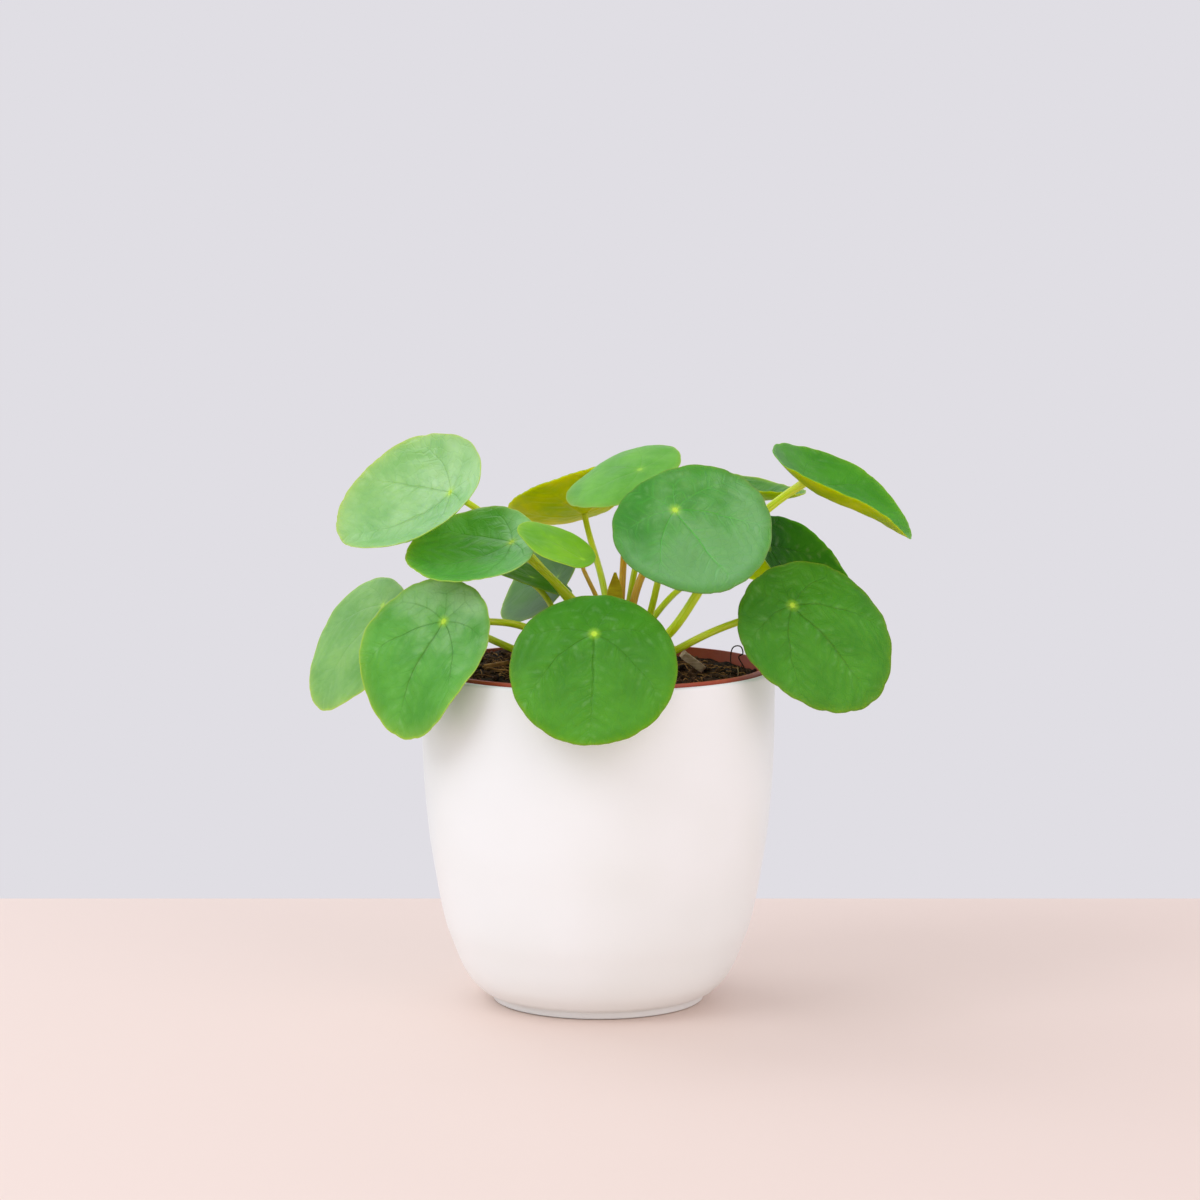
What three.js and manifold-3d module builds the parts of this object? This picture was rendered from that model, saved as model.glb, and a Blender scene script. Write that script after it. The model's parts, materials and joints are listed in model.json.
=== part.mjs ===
// Potted pilea: a young plant with round leaves, standing in a terracotta coloured
// nursery pot that is dropped into a white cover pot.
// Millimetres, +Z up. The origin is the middle of the cover pot's underside and -Y is the front.

import * as THREE from 'three';
import { mergeVertices } from 'three/addons/utils/BufferGeometryUtils.js';
import Module from 'manifold-3d';

const wasm = await Module();
wasm.setup();

// Cover pot
const POT_HEIGHT = 129;
const POT_RADIUS = 68;
const POT_WALL = 2.2;
const POT_FLOOR = 7;
const FOOT_RADIUS = 41;
const FOOT_HEIGHT = 2.6;
const FOOT_WIDTH = 7;
const RECESS_DEPTH = 1.2;
const PAD_RADIUS = 12;
const POT_FLOOR_RADIUS = 44;
const POT_LIP = 0.8;
const POT_SIDES = 44;

// Nursery pot
const NURSERY_RIM_RADIUS = 65.2;
const NURSERY_TOP = POT_HEIGHT + 1.2;
const NURSERY_RIM_BAND = 15;
const NURSERY_WALL = 1.4;
const NURSERY_STEP = 3.4;
const NURSERY_MIDDLE = 60;
const NURSERY_BASE_RADIUS = 43;
const NURSERY_SIDES = 40;
const DRAIN_COUNT = 6;
const DRAIN_RADIUS = 4;
const DRAIN_RING = 28;

// Soil
const SOIL_TOP = 128.3;
const SOIL_SLANT = -0.035;
const SOIL_SINK = 0.6;
const SOIL_REACH = 60;
const SOIL_RELIEF = 1.2;
const SOIL_DENTS = [
  { x: 32, y: 2, radius: 6, depth: 2.2 },
  { x: 41, y: 1, radius: 5, depth: 2.4 },
  { x: 11, y: 0, radius: 16, depth: 1.8 },
];
const SOIL_SPOKES = 40;
const SOIL_RINGS = 9;

// Trunk
const TRUNK_RADIUS = 6;
const TRUNK_SIDES = 16;
const TRUNK_HOLE_DEPTH = 45;
const TRUNK_FOOT = new THREE.Vector3(11, 0, 92);
const TRUNK_TIP = new THREE.Vector3(5.8, 1, 153);
const SCAR_STEP = 7;
const SCAR_RELIEF = 0.45;

// Fit between pieces, and leaf blades
const GAP = 0.3;
const BLADE = 0.8;
const MARGIN_NOTCHES = 18;
const MARGIN_RELIEF = 0.012;
const PETIOLE_SIDES = 7;
const PETIOLE_STEPS = 9;
const PETIOLE_FLARE = 1.2;

const COLOURS = {
  cover_pot: 0xf3efee,
  nursery_pot: 0xa04834,
  soil: 0x33241b,
  trunk: 0x7d6a3c,
  chip: 0x9b8570,
  stipule: 0x8a5a1c,
  petiole: 0x9cb414,
  brown_petiole: 0xaf7d3c,
};

// Each leaf: where its petiole meets the blade, the compass bearing that its upper face
// looks to and how far it leans that way, the turn of its apex from straight downhill,
// its half length, its width to length, how far from its middle the petiole meets it,
// how far the margin falls below the middle (negative is a saucer), how much more the
// apex droops, how much it narrows to the apex, and the height of the lobes along its
// margin. Then its petiole: half thickness, bearing and height on the trunk, climb at the
// trunk, how far it bends square to the blade (negative leans away), and how long each
// end keeps its own direction.
const LEAVES = [
  { name: 'upper_left', spot: [-56.4, -5, 196.8], facing: -124, lean: 43, turn: -46, size: 30.8,
    width: 0.92, offset: 0.46, dome: -0.43, droop: 0.09, taper: 0.11, lobes: 0.4,
    colour: 0x86c26a, stalk: 1.3, bearing: 180, base: 140, climb: 55, neck: 1.3,
    hold: 0.4 },
  { name: 'mid_left', spot: [-32.7, -20, 179.1], facing: -109, lean: 29, turn: -56, size: 25.4,
    width: 0.98, offset: 0.6, dome: -0.23, droop: -0.04, taper: 0.13, lobes: 0.4,
    colour: 0x3c8a3a, stalk: 1.5, bearing: 221, base: 144.6, climb: 39, neck: -0.39,
    hold: 0.41 },
  { name: 'young', spot: [-5.9, -34, 173.9], facing: -42, lean: 30, turn: -160, size: 15.8,
    width: 0.95, offset: 0.75, dome: -0.02, droop: 0.04, taper: 0.06, lobes: 0.2,
    colour: 0x6fb41e, stalk: 0.8, bearing: 234, base: 149, climb: 75, neck: 0.18,
    hold: 0.19, brown: true },
  { name: 'far_left', spot: [-83.4, 10, 151.7], facing: -143, lean: 58, turn: -21, size: 28.8,
    width: 0.93, offset: 0.64, dome: 0.03, droop: 0.11, taper: 0.14, lobes: 0.4,
    colour: 0x7ab85c, stalk: 1.3, bearing: 214, base: 130.6, climb: 6, neck: -0.23,
    hold: 0.63 },
  { name: 'lower_left', spot: [-57.8, -36, 150.8], facing: -122, lean: 55, turn: -17, size: 30.1,
    width: 0.93, offset: 0.46, dome: -0.11, droop: 0.59, taper: 0.04, lobes: 0.4,
    colour: 0x5da646, stalk: 1.3, bearing: 213, base: 138, climb: 6, neck: -0.8,
    hold: 0.61 },
  { name: 'front', spot: [-1.5, -60, 149], facing: -92, lean: 52, turn: 0, size: 32.9,
    width: 0.93, offset: 0.46, dome: 0.07, droop: -0.12, taper: 0.05, lobes: 0.3,
    colour: 0x419128, stalk: 1.4, bearing: 262, base: 132, climb: 20, neck: 0.2,
    hold: 0.33 },
  { name: 'back_left', spot: [-16.1, 45, 158.9], facing: -146, lean: 50, turn: -70, size: 21.9,
    width: 0.97, offset: 0.46, dome: -0.11, droop: 0.2, taper: 0.1, lobes: 0.25,
    colour: 0x5e8e5c, stalk: 1.1, bearing: 128, base: 132, climb: 25, neck: 0.2,
    hold: 0.33 },
  { name: 'under_left', spot: [-26, 18, 161.7], facing: -12, lean: 23, turn: 180, size: 23,
    width: 0.96, offset: 0.28, dome: -0.02, droop: 0, taper: 0, lobes: 0.25,
    colour: 0x2c6e16, stalk: 1.1, bearing: 181, base: 130.3, climb: 8, neck: -0.44,
    hold: 0.45 },
  { name: 'back_top_left', spot: [-5.7, 62, 183.2], facing: 113, lean: 33, turn: 134, size: 26.1,
    width: 0.95, offset: 0.46, dome: -0.2, droop: 0.18, taper: 0.02, lobes: 0.3,
    colour: 0x4c8a14, stalk: 1.2, bearing: 112, base: 139.1, climb: 91, neck: -0.13,
    hold: 0.32 },
  { name: 'back_top', spot: [15.9, -4, 205.3], facing: -136, lean: 29, turn: -89, size: 24.1,
    width: 0.95, offset: 0.46, dome: 0.18, droop: 0.1, taper: 0.03, lobes: 0.25,
    colour: 0x72ba4c, stalk: 1.2, bearing: 71, base: 149, climb: 79, neck: -0.3,
    hold: 0.58, brown: true },
  { name: 'centre', spot: [28.9, -26, 191.8], facing: -91, lean: 47, turn: 32, size: 29.9,
    width: 0.99, offset: 0.46, dome: -0.14, droop: 0.03, taper: 0.09, lobes: 0.4,
    colour: 0x4ea045, stalk: 1.2, bearing: 348, base: 132.2, climb: 73, neck: -0.29,
    hold: 0.43 },
  { name: 'back_right', spot: [48.8, 45, 194.5], facing: -13, lean: 11, turn: -14, size: 23.2,
    width: 0.96, offset: 0.46, dome: -0.25, droop: -0.04, taper: -0.03, lobes: 0.3,
    colour: 0x568e50, stalk: 1.3, bearing: 45, base: 144.1, climb: 80, neck: -0.01,
    hold: 0.5, brown: true },
  { name: 'upper_right', spot: [78.7, -10, 201.6], facing: -24, lean: 23, turn: 18, size: 30.7,
    width: 0.93, offset: 0.48, dome: -0.3, droop: 0.39, taper: 0.25, lobes: 0.27,
    colour: 0x4c9622, stalk: 1.6, bearing: 298, base: 137.5, climb: 0, neck: -1.34,
    hold: 0.58 },
  { name: 'mid_right', spot: [66.4, 30, 173.3], facing: -34, lean: 49, turn: 31, size: 25.9,
    width: 0.96, offset: 0.69, dome: -0.31, droop: 0.06, taper: 0.03, lobes: 0.3,
    colour: 0x2a660c, stalk: 1.1, bearing: -1, base: 138.4, climb: 56, neck: 0.4,
    hold: 0.53 },
  { name: 'lower_right', spot: [72.9, -32, 156.4], facing: -71, lean: 56, turn: 34, size: 31.9,
    width: 0.92, offset: 0.46, dome: 0.09, droop: 0.13, taper: 0.07, lobes: 0.4,
    colour: 0x44883a, stalk: 1.3, bearing: 309, base: 129, climb: 16, neck: -0.47,
    hold: 0.56 },
  { name: 'hidden_back', spot: [50, 50, 176], facing: 60, lean: 50, turn: -40, size: 18,
    width: 0.96, offset: 0.46, dome: 0.04, droop: 0.1, taper: 0, lobes: 0.25,
    colour: 0x6c9a1e, stalk: 1.1, bearing: 66, base: 141, climb: 66, neck: -0.37,
    hold: 0.92 },
];

function material(colour, roughness) {
  return new THREE.MeshStandardMaterial({ color: colour, roughness, metalness: 0 });
}

function named(name, geometry, finish) {
  const mesh = new THREE.Mesh(geometry, finish);
  mesh.name = name;
  return mesh;
}

// A closed three.js geometry as a solid that can be cut and joined.
function solid(geometry) {
  const bare = geometry.clone();
  bare.deleteAttribute('normal');
  bare.deleteAttribute('uv');
  const merged = mergeVertices(bare, 1e-4);
  return new wasm.Manifold(new wasm.Mesh({
    numProp: 3,
    vertProperties: new Float32Array(merged.attributes.position.array),
    triVerts: new Uint32Array(merged.index.array),
  }));
}

function geometryOf(body) {
  const mesh = body.getMesh();
  const geometry = new THREE.BufferGeometry();
  geometry.setAttribute('position', new THREE.BufferAttribute(mesh.vertProperties, 3));
  geometry.setIndex(new THREE.BufferAttribute(mesh.triVerts, 1));
  geometry.computeVertexNormals();
  return geometry;
}

// A profile of [radius, height] points turned about the Z axis.
function turned(points, sides) {
  const profile = points.map(([radius, height]) => new THREE.Vector2(radius, height));
  const geometry = new THREE.LatheGeometry(profile, sides);
  geometry.rotateX(Math.PI / 2);
  return geometry;
}

// The cover pot's outside from the foot up: a small foot, a full round belly
// and a wall that is almost upright by half height.
const BELLY = [
  [45, 4.2], [49.7, 9], [53.2, 15], [56.2, 22.5], [58.9, 30], [61.2, 40], [63.3, 52],
  [65.4, 66], [67.2, 86], [67.9, 106],
];

function coverPot() {
  const outside = [
    [FOOT_RADIUS, 0],
    [FOOT_RADIUS, FOOT_HEIGHT],
    ...BELLY,
    [POT_RADIUS, POT_HEIGHT - POT_LIP],
    [POT_RADIUS - POT_LIP, POT_HEIGHT],
  ];
  const inside = BELLY
    .filter(([, height]) => height > POT_FLOOR)
    .map(([radius, height]) => [radius - POT_WALL, height + 1])
    .reverse();
  const underside = [
    [0, 0],
    [PAD_RADIUS, 0],
    [PAD_RADIUS + 1, RECESS_DEPTH],
    [FOOT_RADIUS - FOOT_WIDTH - 1, RECESS_DEPTH],
    [FOOT_RADIUS - FOOT_WIDTH, 0],
  ];
  const points = [
    ...underside,
    ...outside,
    [POT_RADIUS - POT_WALL, POT_HEIGHT - POT_LIP / 2],
    ...inside,
    [POT_FLOOR_RADIUS, POT_FLOOR],
    [0, POT_FLOOR],
  ];
  return turned(points, POT_SIDES);
}

// Radius of the nursery pot's tapered body at a height.
function nurseryRadius(height) {
  const low = POT_FLOOR + GAP;
  const high = NURSERY_TOP - NURSERY_RIM_BAND;
  const narrow = NURSERY_RIM_RADIUS - NURSERY_STEP;
  return NURSERY_BASE_RADIUS + (narrow - NURSERY_BASE_RADIUS) * (height - low) / (high - low);
}

function nurseryPot() {
  const low = POT_FLOOR + GAP;
  const shoulder = NURSERY_TOP - NURSERY_RIM_BAND;
  const points = [
    [0, low],
    [NURSERY_BASE_RADIUS - 1.5, low],
    [nurseryRadius(low + 1.5), low + 1.5],
    [nurseryRadius(NURSERY_MIDDLE), NURSERY_MIDDLE],
    [nurseryRadius(shoulder), shoulder],
    [NURSERY_RIM_RADIUS - 0.6, shoulder + 0.6],
    [NURSERY_RIM_RADIUS, NURSERY_TOP - 0.7],
    [NURSERY_RIM_RADIUS - 0.7, NURSERY_TOP],
    [NURSERY_RIM_RADIUS - NURSERY_WALL, NURSERY_TOP - 0.3],
    [NURSERY_RIM_RADIUS - NURSERY_WALL - 0.8, shoulder + 3],
    [nurseryRadius(shoulder) - NURSERY_WALL, shoulder - 1],
    [nurseryRadius(NURSERY_MIDDLE) - NURSERY_WALL, NURSERY_MIDDLE],
    [nurseryRadius(low + 2) - NURSERY_WALL, low + NURSERY_WALL],
    [0, low + NURSERY_WALL],
  ];
  let body = solid(turned(points, NURSERY_SIDES));
  for (let i = 0; i < DRAIN_COUNT; i += 1) {
    const angle = (2 * Math.PI * i) / DRAIN_COUNT;
    const drill = new THREE.CylinderGeometry(DRAIN_RADIUS, DRAIN_RADIUS, 6 * NURSERY_WALL, 10);
    drill.rotateX(Math.PI / 2);
    drill.translate(DRAIN_RING * Math.cos(angle), DRAIN_RING * Math.sin(angle), low);
    body = body.subtract(solid(drill));
  }
  return geometryOf(body);
}

// Height of the soil: lumpy, lower at the wall, dented at the trunk and beside a bark chip.
function soilHeight(x, y) {
  const lumps = Math.sin(0.31 * x + 1.1) * Math.cos(0.27 * y - 0.6)
    + 0.6 * Math.sin(0.53 * x - 0.41 * y + 2)
    + 0.4 * Math.cos(0.19 * x + 0.67 * y);
  const edge = SOIL_SLANT * x - SOIL_SINK * (Math.hypot(x, y) / SOIL_REACH) ** 4;
  const dents = SOIL_DENTS.reduce((sum, dent) => {
    const away = Math.hypot(x - dent.x, y - dent.y) / dent.radius;
    return sum + dent.depth * Math.exp(-away * away);
  }, 0);
  return SOIL_TOP + edge + 0.5 * SOIL_RELIEF * lumps - dents;
}

// Centre line of the trunk at a height.
function trunkCentre(height) {
  const share = (height - TRUNK_FOOT.z) / (TRUNK_TIP.z - TRUNK_FOOT.z);
  return new THREE.Vector3().lerpVectors(TRUNK_FOOT, TRUNK_TIP, share);
}

// Moves a shape that stands on the origin onto the trunk's foot and leans it as the trunk leans.
function followTrunk(geometry) {
  const position = geometry.attributes.position;
  for (let i = 0; i < position.count; i += 1) {
    const height = position.getZ(i) + TRUNK_FOOT.z;
    const centre = trunkCentre(height);
    position.setXYZ(i, position.getX(i) + centre.x, position.getY(i) + centre.y, height);
  }
}

function soil() {
  const floor = POT_FLOOR + 2 * GAP + NURSERY_WALL;
  const shoulder = NURSERY_TOP - NURSERY_RIM_BAND;
  const inner = (height) => nurseryRadius(height) - NURSERY_WALL - GAP - 0.4;
  const edge = NURSERY_RIM_RADIUS - NURSERY_WALL - 0.9 - GAP;
  const points = [
    [0, floor],
    [inner(floor) - 0.5, floor],
    [inner(NURSERY_MIDDLE), NURSERY_MIDDLE],
    [inner(shoulder - 1), shoulder - 1],
    [edge, shoulder + 4],
    [edge, SOIL_TOP],
  ];
  for (let ring = SOIL_RINGS; ring >= 0; ring -= 1) {
    points.push([(edge * ring) / (SOIL_RINGS + 1), SOIL_TOP]);
  }
  const geometry = turned(points, SOIL_SPOKES);
  const position = geometry.attributes.position;
  for (let i = 0; i < position.count; i += 1) {
    if (position.getZ(i) > SOIL_TOP - 0.01) {
      position.setZ(i, soilHeight(position.getX(i), position.getY(i)));
    }
  }
  const fit = TRUNK_RADIUS + GAP + 0.1;
  const rise = TRUNK_HOLE_DEPTH;
  const hole = turned([[0, -GAP], [fit, -GAP], [fit, rise], [0, rise]], TRUNK_SIDES);
  followTrunk(hole);
  return geometryOf(solid(geometry).subtract(solid(hole)));
}

// The woody stem, ringed by the scars of fallen leaves, leaning a little to the left.
function trunk() {
  const length = TRUNK_TIP.z - TRUNK_FOOT.z;
  const points = [[0, 0], [TRUNK_RADIUS - 2, 0], [TRUNK_RADIUS - 0.6, 3]];
  for (let height = SCAR_STEP; height < length - 4; height += SCAR_STEP) {
    points.push([TRUNK_RADIUS - SCAR_RELIEF, height]);
    points.push([TRUNK_RADIUS, height + 0.25 * SCAR_STEP]);
  }
  points.push([TRUNK_RADIUS - 1.2, length - 2.5], [TRUNK_RADIUS - 3.2, length - 0.6], [0, length]);
  const geometry = turned(points, TRUNK_SIDES);
  followTrunk(geometry);
  geometry.computeVertexNormals();
  return geometry;
}

// Height of a blade over its own plane at a point of the unit disc, x to the apex.
function bladeHeight(leaf, x, y) {
  const radius = Math.hypot(x, y);
  const lobes = leaf.lobes * radius ** 4 * Math.sin(5 * Math.atan2(y, x) + leaf.turn);
  const fall = leaf.dome * radius * radius + leaf.droop * Math.max(0, x) ** 2;
  return lobes - leaf.size * fall;
}

// A blade as two like faces and a margin. Its own origin is the spot where the petiole
// meets it, +X runs to the apex and +Z is its upper side.
function blade(leaf) {
  const rings = [
    { share: 0.36, count: MARGIN_NOTCHES },
    { share: 0.68, count: MARGIN_NOTCHES },
    { share: 0.9, count: MARGIN_NOTCHES },
    { share: 1, count: 2 * MARGIN_NOTCHES },
  ];
  const level = bladeHeight(leaf, -leaf.offset, 0);
  const place = (x, y, side) => [
    leaf.size * (x + leaf.offset),
    leaf.size * leaf.width * y * (1 - leaf.taper * x),
    bladeHeight(leaf, x, y) - level + side * BLADE / 2,
  ];
  const vertices = [];
  const index = [];
  const starts = [];
  for (const side of [1, -1]) {
    const first = vertices.length;
    vertices.push(place(0, 0, side));
    const start = [];
    rings.forEach(({ share, count }) => {
      start.push(vertices.length);
      for (let i = 0; i < count; i += 1) {
        const angle = (2 * Math.PI * i) / count;
        const notch = share === 1 ? MARGIN_RELIEF * (i % 2 === 0 ? -1 : 1) : 0;
        const radius = share + notch;
        vertices.push(place(radius * Math.cos(angle), radius * Math.sin(angle), side));
      }
    });
    starts.push(start);
    const face = (a, b, c) => index.push(...(side > 0 ? [a, b, c] : [a, c, b]));
    const next = (i) => (i + 1) % MARGIN_NOTCHES;
    for (let i = 0; i < MARGIN_NOTCHES; i += 1) {
      face(first, start[0] + i, start[0] + next(i));
      for (let ring = 0; ring < 2; ring += 1) {
        face(start[ring] + i, start[ring + 1] + i, start[ring + 1] + next(i));
        face(start[ring] + i, start[ring + 1] + next(i), start[ring] + next(i));
      }
      const outer = start[3] + 2 * i;
      const far = start[3] + ((2 * i + 2) % (2 * MARGIN_NOTCHES));
      face(start[2] + i, outer, outer + 1);
      face(start[2] + i, outer + 1, start[2] + next(i));
      face(start[2] + next(i), outer + 1, far);
    }
  }
  const top = starts[0][3];
  const under = starts[1][3];
  for (let i = 0; i < 2 * MARGIN_NOTCHES; i += 1) {
    const j = (i + 1) % (2 * MARGIN_NOTCHES);
    index.push(top + i, under + i, under + j, top + i, under + j, top + j);
  }
  const geometry = new THREE.BufferGeometry();
  geometry.setAttribute('position', new THREE.Float32BufferAttribute(vertices.flat(), 3));
  geometry.setIndex(index);
  geometry.computeVertexNormals();
  return geometry;
}

const radians = THREE.MathUtils.degToRad;

// The turn that brings a blade's own axes to where the leaf holds them.
function bladeTurn(leaf) {
  const facing = new THREE.Matrix4().makeRotationZ(radians(leaf.facing));
  const lean = new THREE.Matrix4().makeRotationY(radians(leaf.lean));
  const turn = new THREE.Matrix4().makeRotationZ(radians(leaf.turn));
  return facing.multiply(lean).multiply(turn);
}

function petiolePath(leaf) {
  const bearing = radians(leaf.bearing);
  const climb = radians(leaf.climb);
  const out = new THREE.Vector3(Math.cos(bearing), Math.sin(bearing), 0);
  const clearTrunk = TRUNK_RADIUS + GAP + PETIOLE_FLARE * leaf.stalk * Math.sin(climb);
  const start = trunkCentre(leaf.base).addScaledVector(out, clearTrunk);
  const away = out.clone().multiplyScalar(Math.cos(climb));
  away.z = Math.sin(climb);
  const slope = 2 * leaf.dome * leaf.offset;
  const normal = new THREE.Vector3(-slope, 0, 1).normalize().applyMatrix4(bladeTurn(leaf));
  const spot = new THREE.Vector3(...leaf.spot);
  const straight = spot.clone().sub(start).normalize();
  const arrive = straight.lerp(normal, leaf.neck).normalize();
  const clear = BLADE / 2 + GAP + leaf.stalk * Math.sin(arrive.angleTo(normal));
  const end = spot.clone().addScaledVector(normal, -clear);
  const reach = leaf.hold * start.distanceTo(end);
  return new THREE.CubicBezierCurve3(
    start,
    start.clone().addScaledVector(away, reach),
    end.clone().addScaledVector(arrive, -reach),
    end,
  );
}

// A round tube along the petiole's path, thicker at the trunk, closed at both ends.
function petiole(leaf) {
  const path = petiolePath(leaf);
  const { normals, binormals } = path.computeFrenetFrames(PETIOLE_STEPS);
  const vertices = [];
  const index = [];
  for (let step = 0; step <= PETIOLE_STEPS; step += 1) {
    const share = step / PETIOLE_STEPS;
    const radius = leaf.stalk * THREE.MathUtils.lerp(PETIOLE_FLARE, 1, share);
    for (let i = 0; i < PETIOLE_SIDES; i += 1) {
      const angle = (2 * Math.PI * i) / PETIOLE_SIDES;
      const point = path.getPointAt(share)
        .addScaledVector(normals[step], radius * Math.cos(angle))
        .addScaledVector(binormals[step], radius * Math.sin(angle));
      vertices.push(point.x, point.y, point.z);
      if (step > 0) {
        const here = step * PETIOLE_SIDES + i;
        const next = step * PETIOLE_SIDES + ((i + 1) % PETIOLE_SIDES);
        const below = here - PETIOLE_SIDES;
        index.push(below, next - PETIOLE_SIDES, next, below, next, here);
      }
    }
  }
  const last = PETIOLE_STEPS * PETIOLE_SIDES;
  for (let i = 1; i < PETIOLE_SIDES - 1; i += 1) {
    index.push(0, i + 1, i, last, last + i, last + i + 1);
  }
  const geometry = new THREE.BufferGeometry();
  geometry.setAttribute('position', new THREE.Float32BufferAttribute(vertices, 3));
  geometry.setIndex(index);
  geometry.computeVertexNormals();
  return geometry;
}

// A flat piece from an outline in its own plane, as thick as given.
function slab(outline, thickness) {
  const shape = new THREE.Shape(outline.map(([x, y]) => new THREE.Vector2(x, y)));
  return new THREE.ExtrudeGeometry(shape, { depth: thickness, bevelEnabled: false });
}

// The papery scale that covers the bud, standing on the tip of the trunk.
function stipule() {
  const outline = [
    [-2.4, 0], [2.2, 0], [3.1, 3], [2.5, 6.4], [0.8, 12], [-0.3, 12.2], [-2.6, 6.4], [-3.2, 3],
  ];
  const mesh = named('stipule', slab(outline, 1), material(COLOURS.stipule, 0.7));
  mesh.rotation.x = Math.PI / 2;
  mesh.position.set(TRUNK_TIP.x + 0.6, TRUNK_TIP.y + 0.5, TRUNK_TIP.z + GAP);
  return mesh;
}

const CHIPS = [
  { name: 'bark_chip_right', at: [35.5, 2, 129.6], rise: -38, turn: 6, thick: 3,
    outline: [[-5, -2.6], [4.2, -2.2], [5.6, 0.4], [4.4, 2.8], [-3.6, 2.2], [-5.6, 0]] },
  { name: 'bark_chip_left', at: [-39, -10, 130.6], rise: 6, turn: 24, thick: 1.4,
    outline: [[-5.4, -0.8], [0, -2], [5.2, -0.6], [4.6, 1], [0, 0.4], [-4.6, 1.2]] },
];

function barkChip(chip) {
  const mesh = named(chip.name, slab(chip.outline, chip.thick), material(COLOURS.chip, 0.9));
  mesh.rotation.y = -radians(chip.rise);
  const holder = new THREE.Group();
  holder.rotation.z = radians(chip.turn);
  holder.position.set(...chip.at);
  holder.add(mesh);
  return holder;
}

const plant = new THREE.Group();
plant.add(named('cover_pot', coverPot(), material(COLOURS.cover_pot, 0.4)));
plant.add(named('nursery_pot', nurseryPot(), material(COLOURS.nursery_pot, 0.6)));
plant.add(named('soil', soil(), material(COLOURS.soil, 0.95)));
plant.add(named('trunk', trunk(), material(COLOURS.trunk, 0.8)));
plant.add(stipule());
CHIPS.forEach((chip) => plant.add(barkChip(chip)));

for (const leaf of LEAVES) {
  const mesh = named(`leaf_${leaf.name}`, blade(leaf), material(leaf.colour, 0.45));
  mesh.applyMatrix4(bladeTurn(leaf));
  mesh.position.set(...leaf.spot);
  plant.add(mesh);
  const tint = leaf.brown ? COLOURS.brown_petiole : COLOURS.petiole;
  plant.add(named(`petiole_${leaf.name}`, petiole(leaf), material(tint, 0.5)));
}

export default plant;
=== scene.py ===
"""A young potted pilea, dressed over its solid parts.

The tables are in millimetres, as in the part's source, and every mesh is in metres.
"""

import json
import logging
import math
import random
from dataclasses import dataclass
from enum import Enum
from typing import Iterable, Protocol, Sequence, Union

import bpy
import numpy as np
from mathutils import Matrix, Vector, noise

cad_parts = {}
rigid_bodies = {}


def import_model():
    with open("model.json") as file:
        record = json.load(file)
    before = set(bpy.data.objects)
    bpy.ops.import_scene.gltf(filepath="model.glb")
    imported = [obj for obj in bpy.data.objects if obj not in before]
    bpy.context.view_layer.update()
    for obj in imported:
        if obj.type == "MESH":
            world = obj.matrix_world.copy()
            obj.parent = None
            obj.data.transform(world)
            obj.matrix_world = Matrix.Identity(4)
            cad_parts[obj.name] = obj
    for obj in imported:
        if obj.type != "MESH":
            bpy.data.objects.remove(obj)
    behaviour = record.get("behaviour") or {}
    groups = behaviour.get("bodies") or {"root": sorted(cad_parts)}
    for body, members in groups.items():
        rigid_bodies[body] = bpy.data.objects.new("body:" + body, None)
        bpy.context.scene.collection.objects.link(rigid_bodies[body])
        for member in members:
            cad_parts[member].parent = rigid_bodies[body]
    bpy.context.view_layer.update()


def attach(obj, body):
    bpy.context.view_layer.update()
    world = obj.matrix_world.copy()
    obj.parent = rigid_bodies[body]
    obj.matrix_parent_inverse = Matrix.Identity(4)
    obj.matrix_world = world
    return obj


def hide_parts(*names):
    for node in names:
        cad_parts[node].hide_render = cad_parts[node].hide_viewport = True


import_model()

LOG = logging.getLogger("potted_pilea")
MM = 0.001
NOISE_SEED = 1
BODY = "root"
Point = tuple[float, float, float]
Profile = Sequence[tuple[float, float]]
Piece = bpy.types.Object
Material = bpy.types.Material
Socket = bpy.types.NodeSocket
Value = Union[Socket, float, tuple]


class StalkTone(Enum):
    """The two colours that the stalks come in."""

    GREEN = "green_petiole"
    BROWN = "brown_petiole"


class Side(Enum):
    """The two faces of a blade."""

    UPPER = "upper"
    UNDER = "under"


class Finish(Protocol):
    """Anything that can build a material."""

    def material(self) -> Material:
        """Builds the material."""


def rgb(code: int) -> tuple[float, float, float, float]:
    """Turns a colour code as seen on a screen into light values.

    Args:
        code: The colour as 0xRRGGBB.

    Returns:
        Red, green, blue and alpha for a shader.
    """
    parts = [((code >> shift) & 255) / 255 for shift in (16, 8, 0)]
    linear = [p / 12.92 if p <= 0.04045 else ((p + 0.055) / 1.055) ** 2.4 for p in parts]
    return (*linear, 1.0)


def deselect() -> None:
    """Leaves no object selected, so that an operator acts only on what is picked next."""
    if bpy.context.object and bpy.context.object.mode != "OBJECT":
        bpy.ops.object.mode_set(mode="OBJECT")
    for other in bpy.context.scene.objects:
        other.select_set(False)


def pick(piece: Piece) -> None:
    """Makes one object the selected and active one."""
    deselect()
    piece.select_set(True)
    bpy.context.view_layer.objects.active = piece


def apply_modifier(piece: Piece, kind: str, **settings: object) -> None:
    """Adds a modifier to a piece and applies it.

    Args:
        piece: The object to change.
        kind: The modifier's type.
        **settings: Values for the modifier's own fields.
    """
    pick(piece)
    modifier = piece.modifiers.new(kind.lower(), kind)
    for key, value in settings.items():
        setattr(modifier, key, value)
    bpy.ops.object.modifier_apply(modifier=modifier.name)


def smooth(piece: Piece, degrees: float) -> None:
    """Shades a piece smooth except over edges sharper than an angle."""
    pick(piece)
    bpy.ops.object.shade_smooth_by_angle(angle=math.radians(degrees))


def dress(piece: Piece, degrees: float, finish: Finish) -> None:
    """Shades a piece smooth and gives it its finish."""
    smooth(piece, degrees)
    piece.data.materials.append(finish.material())


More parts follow.
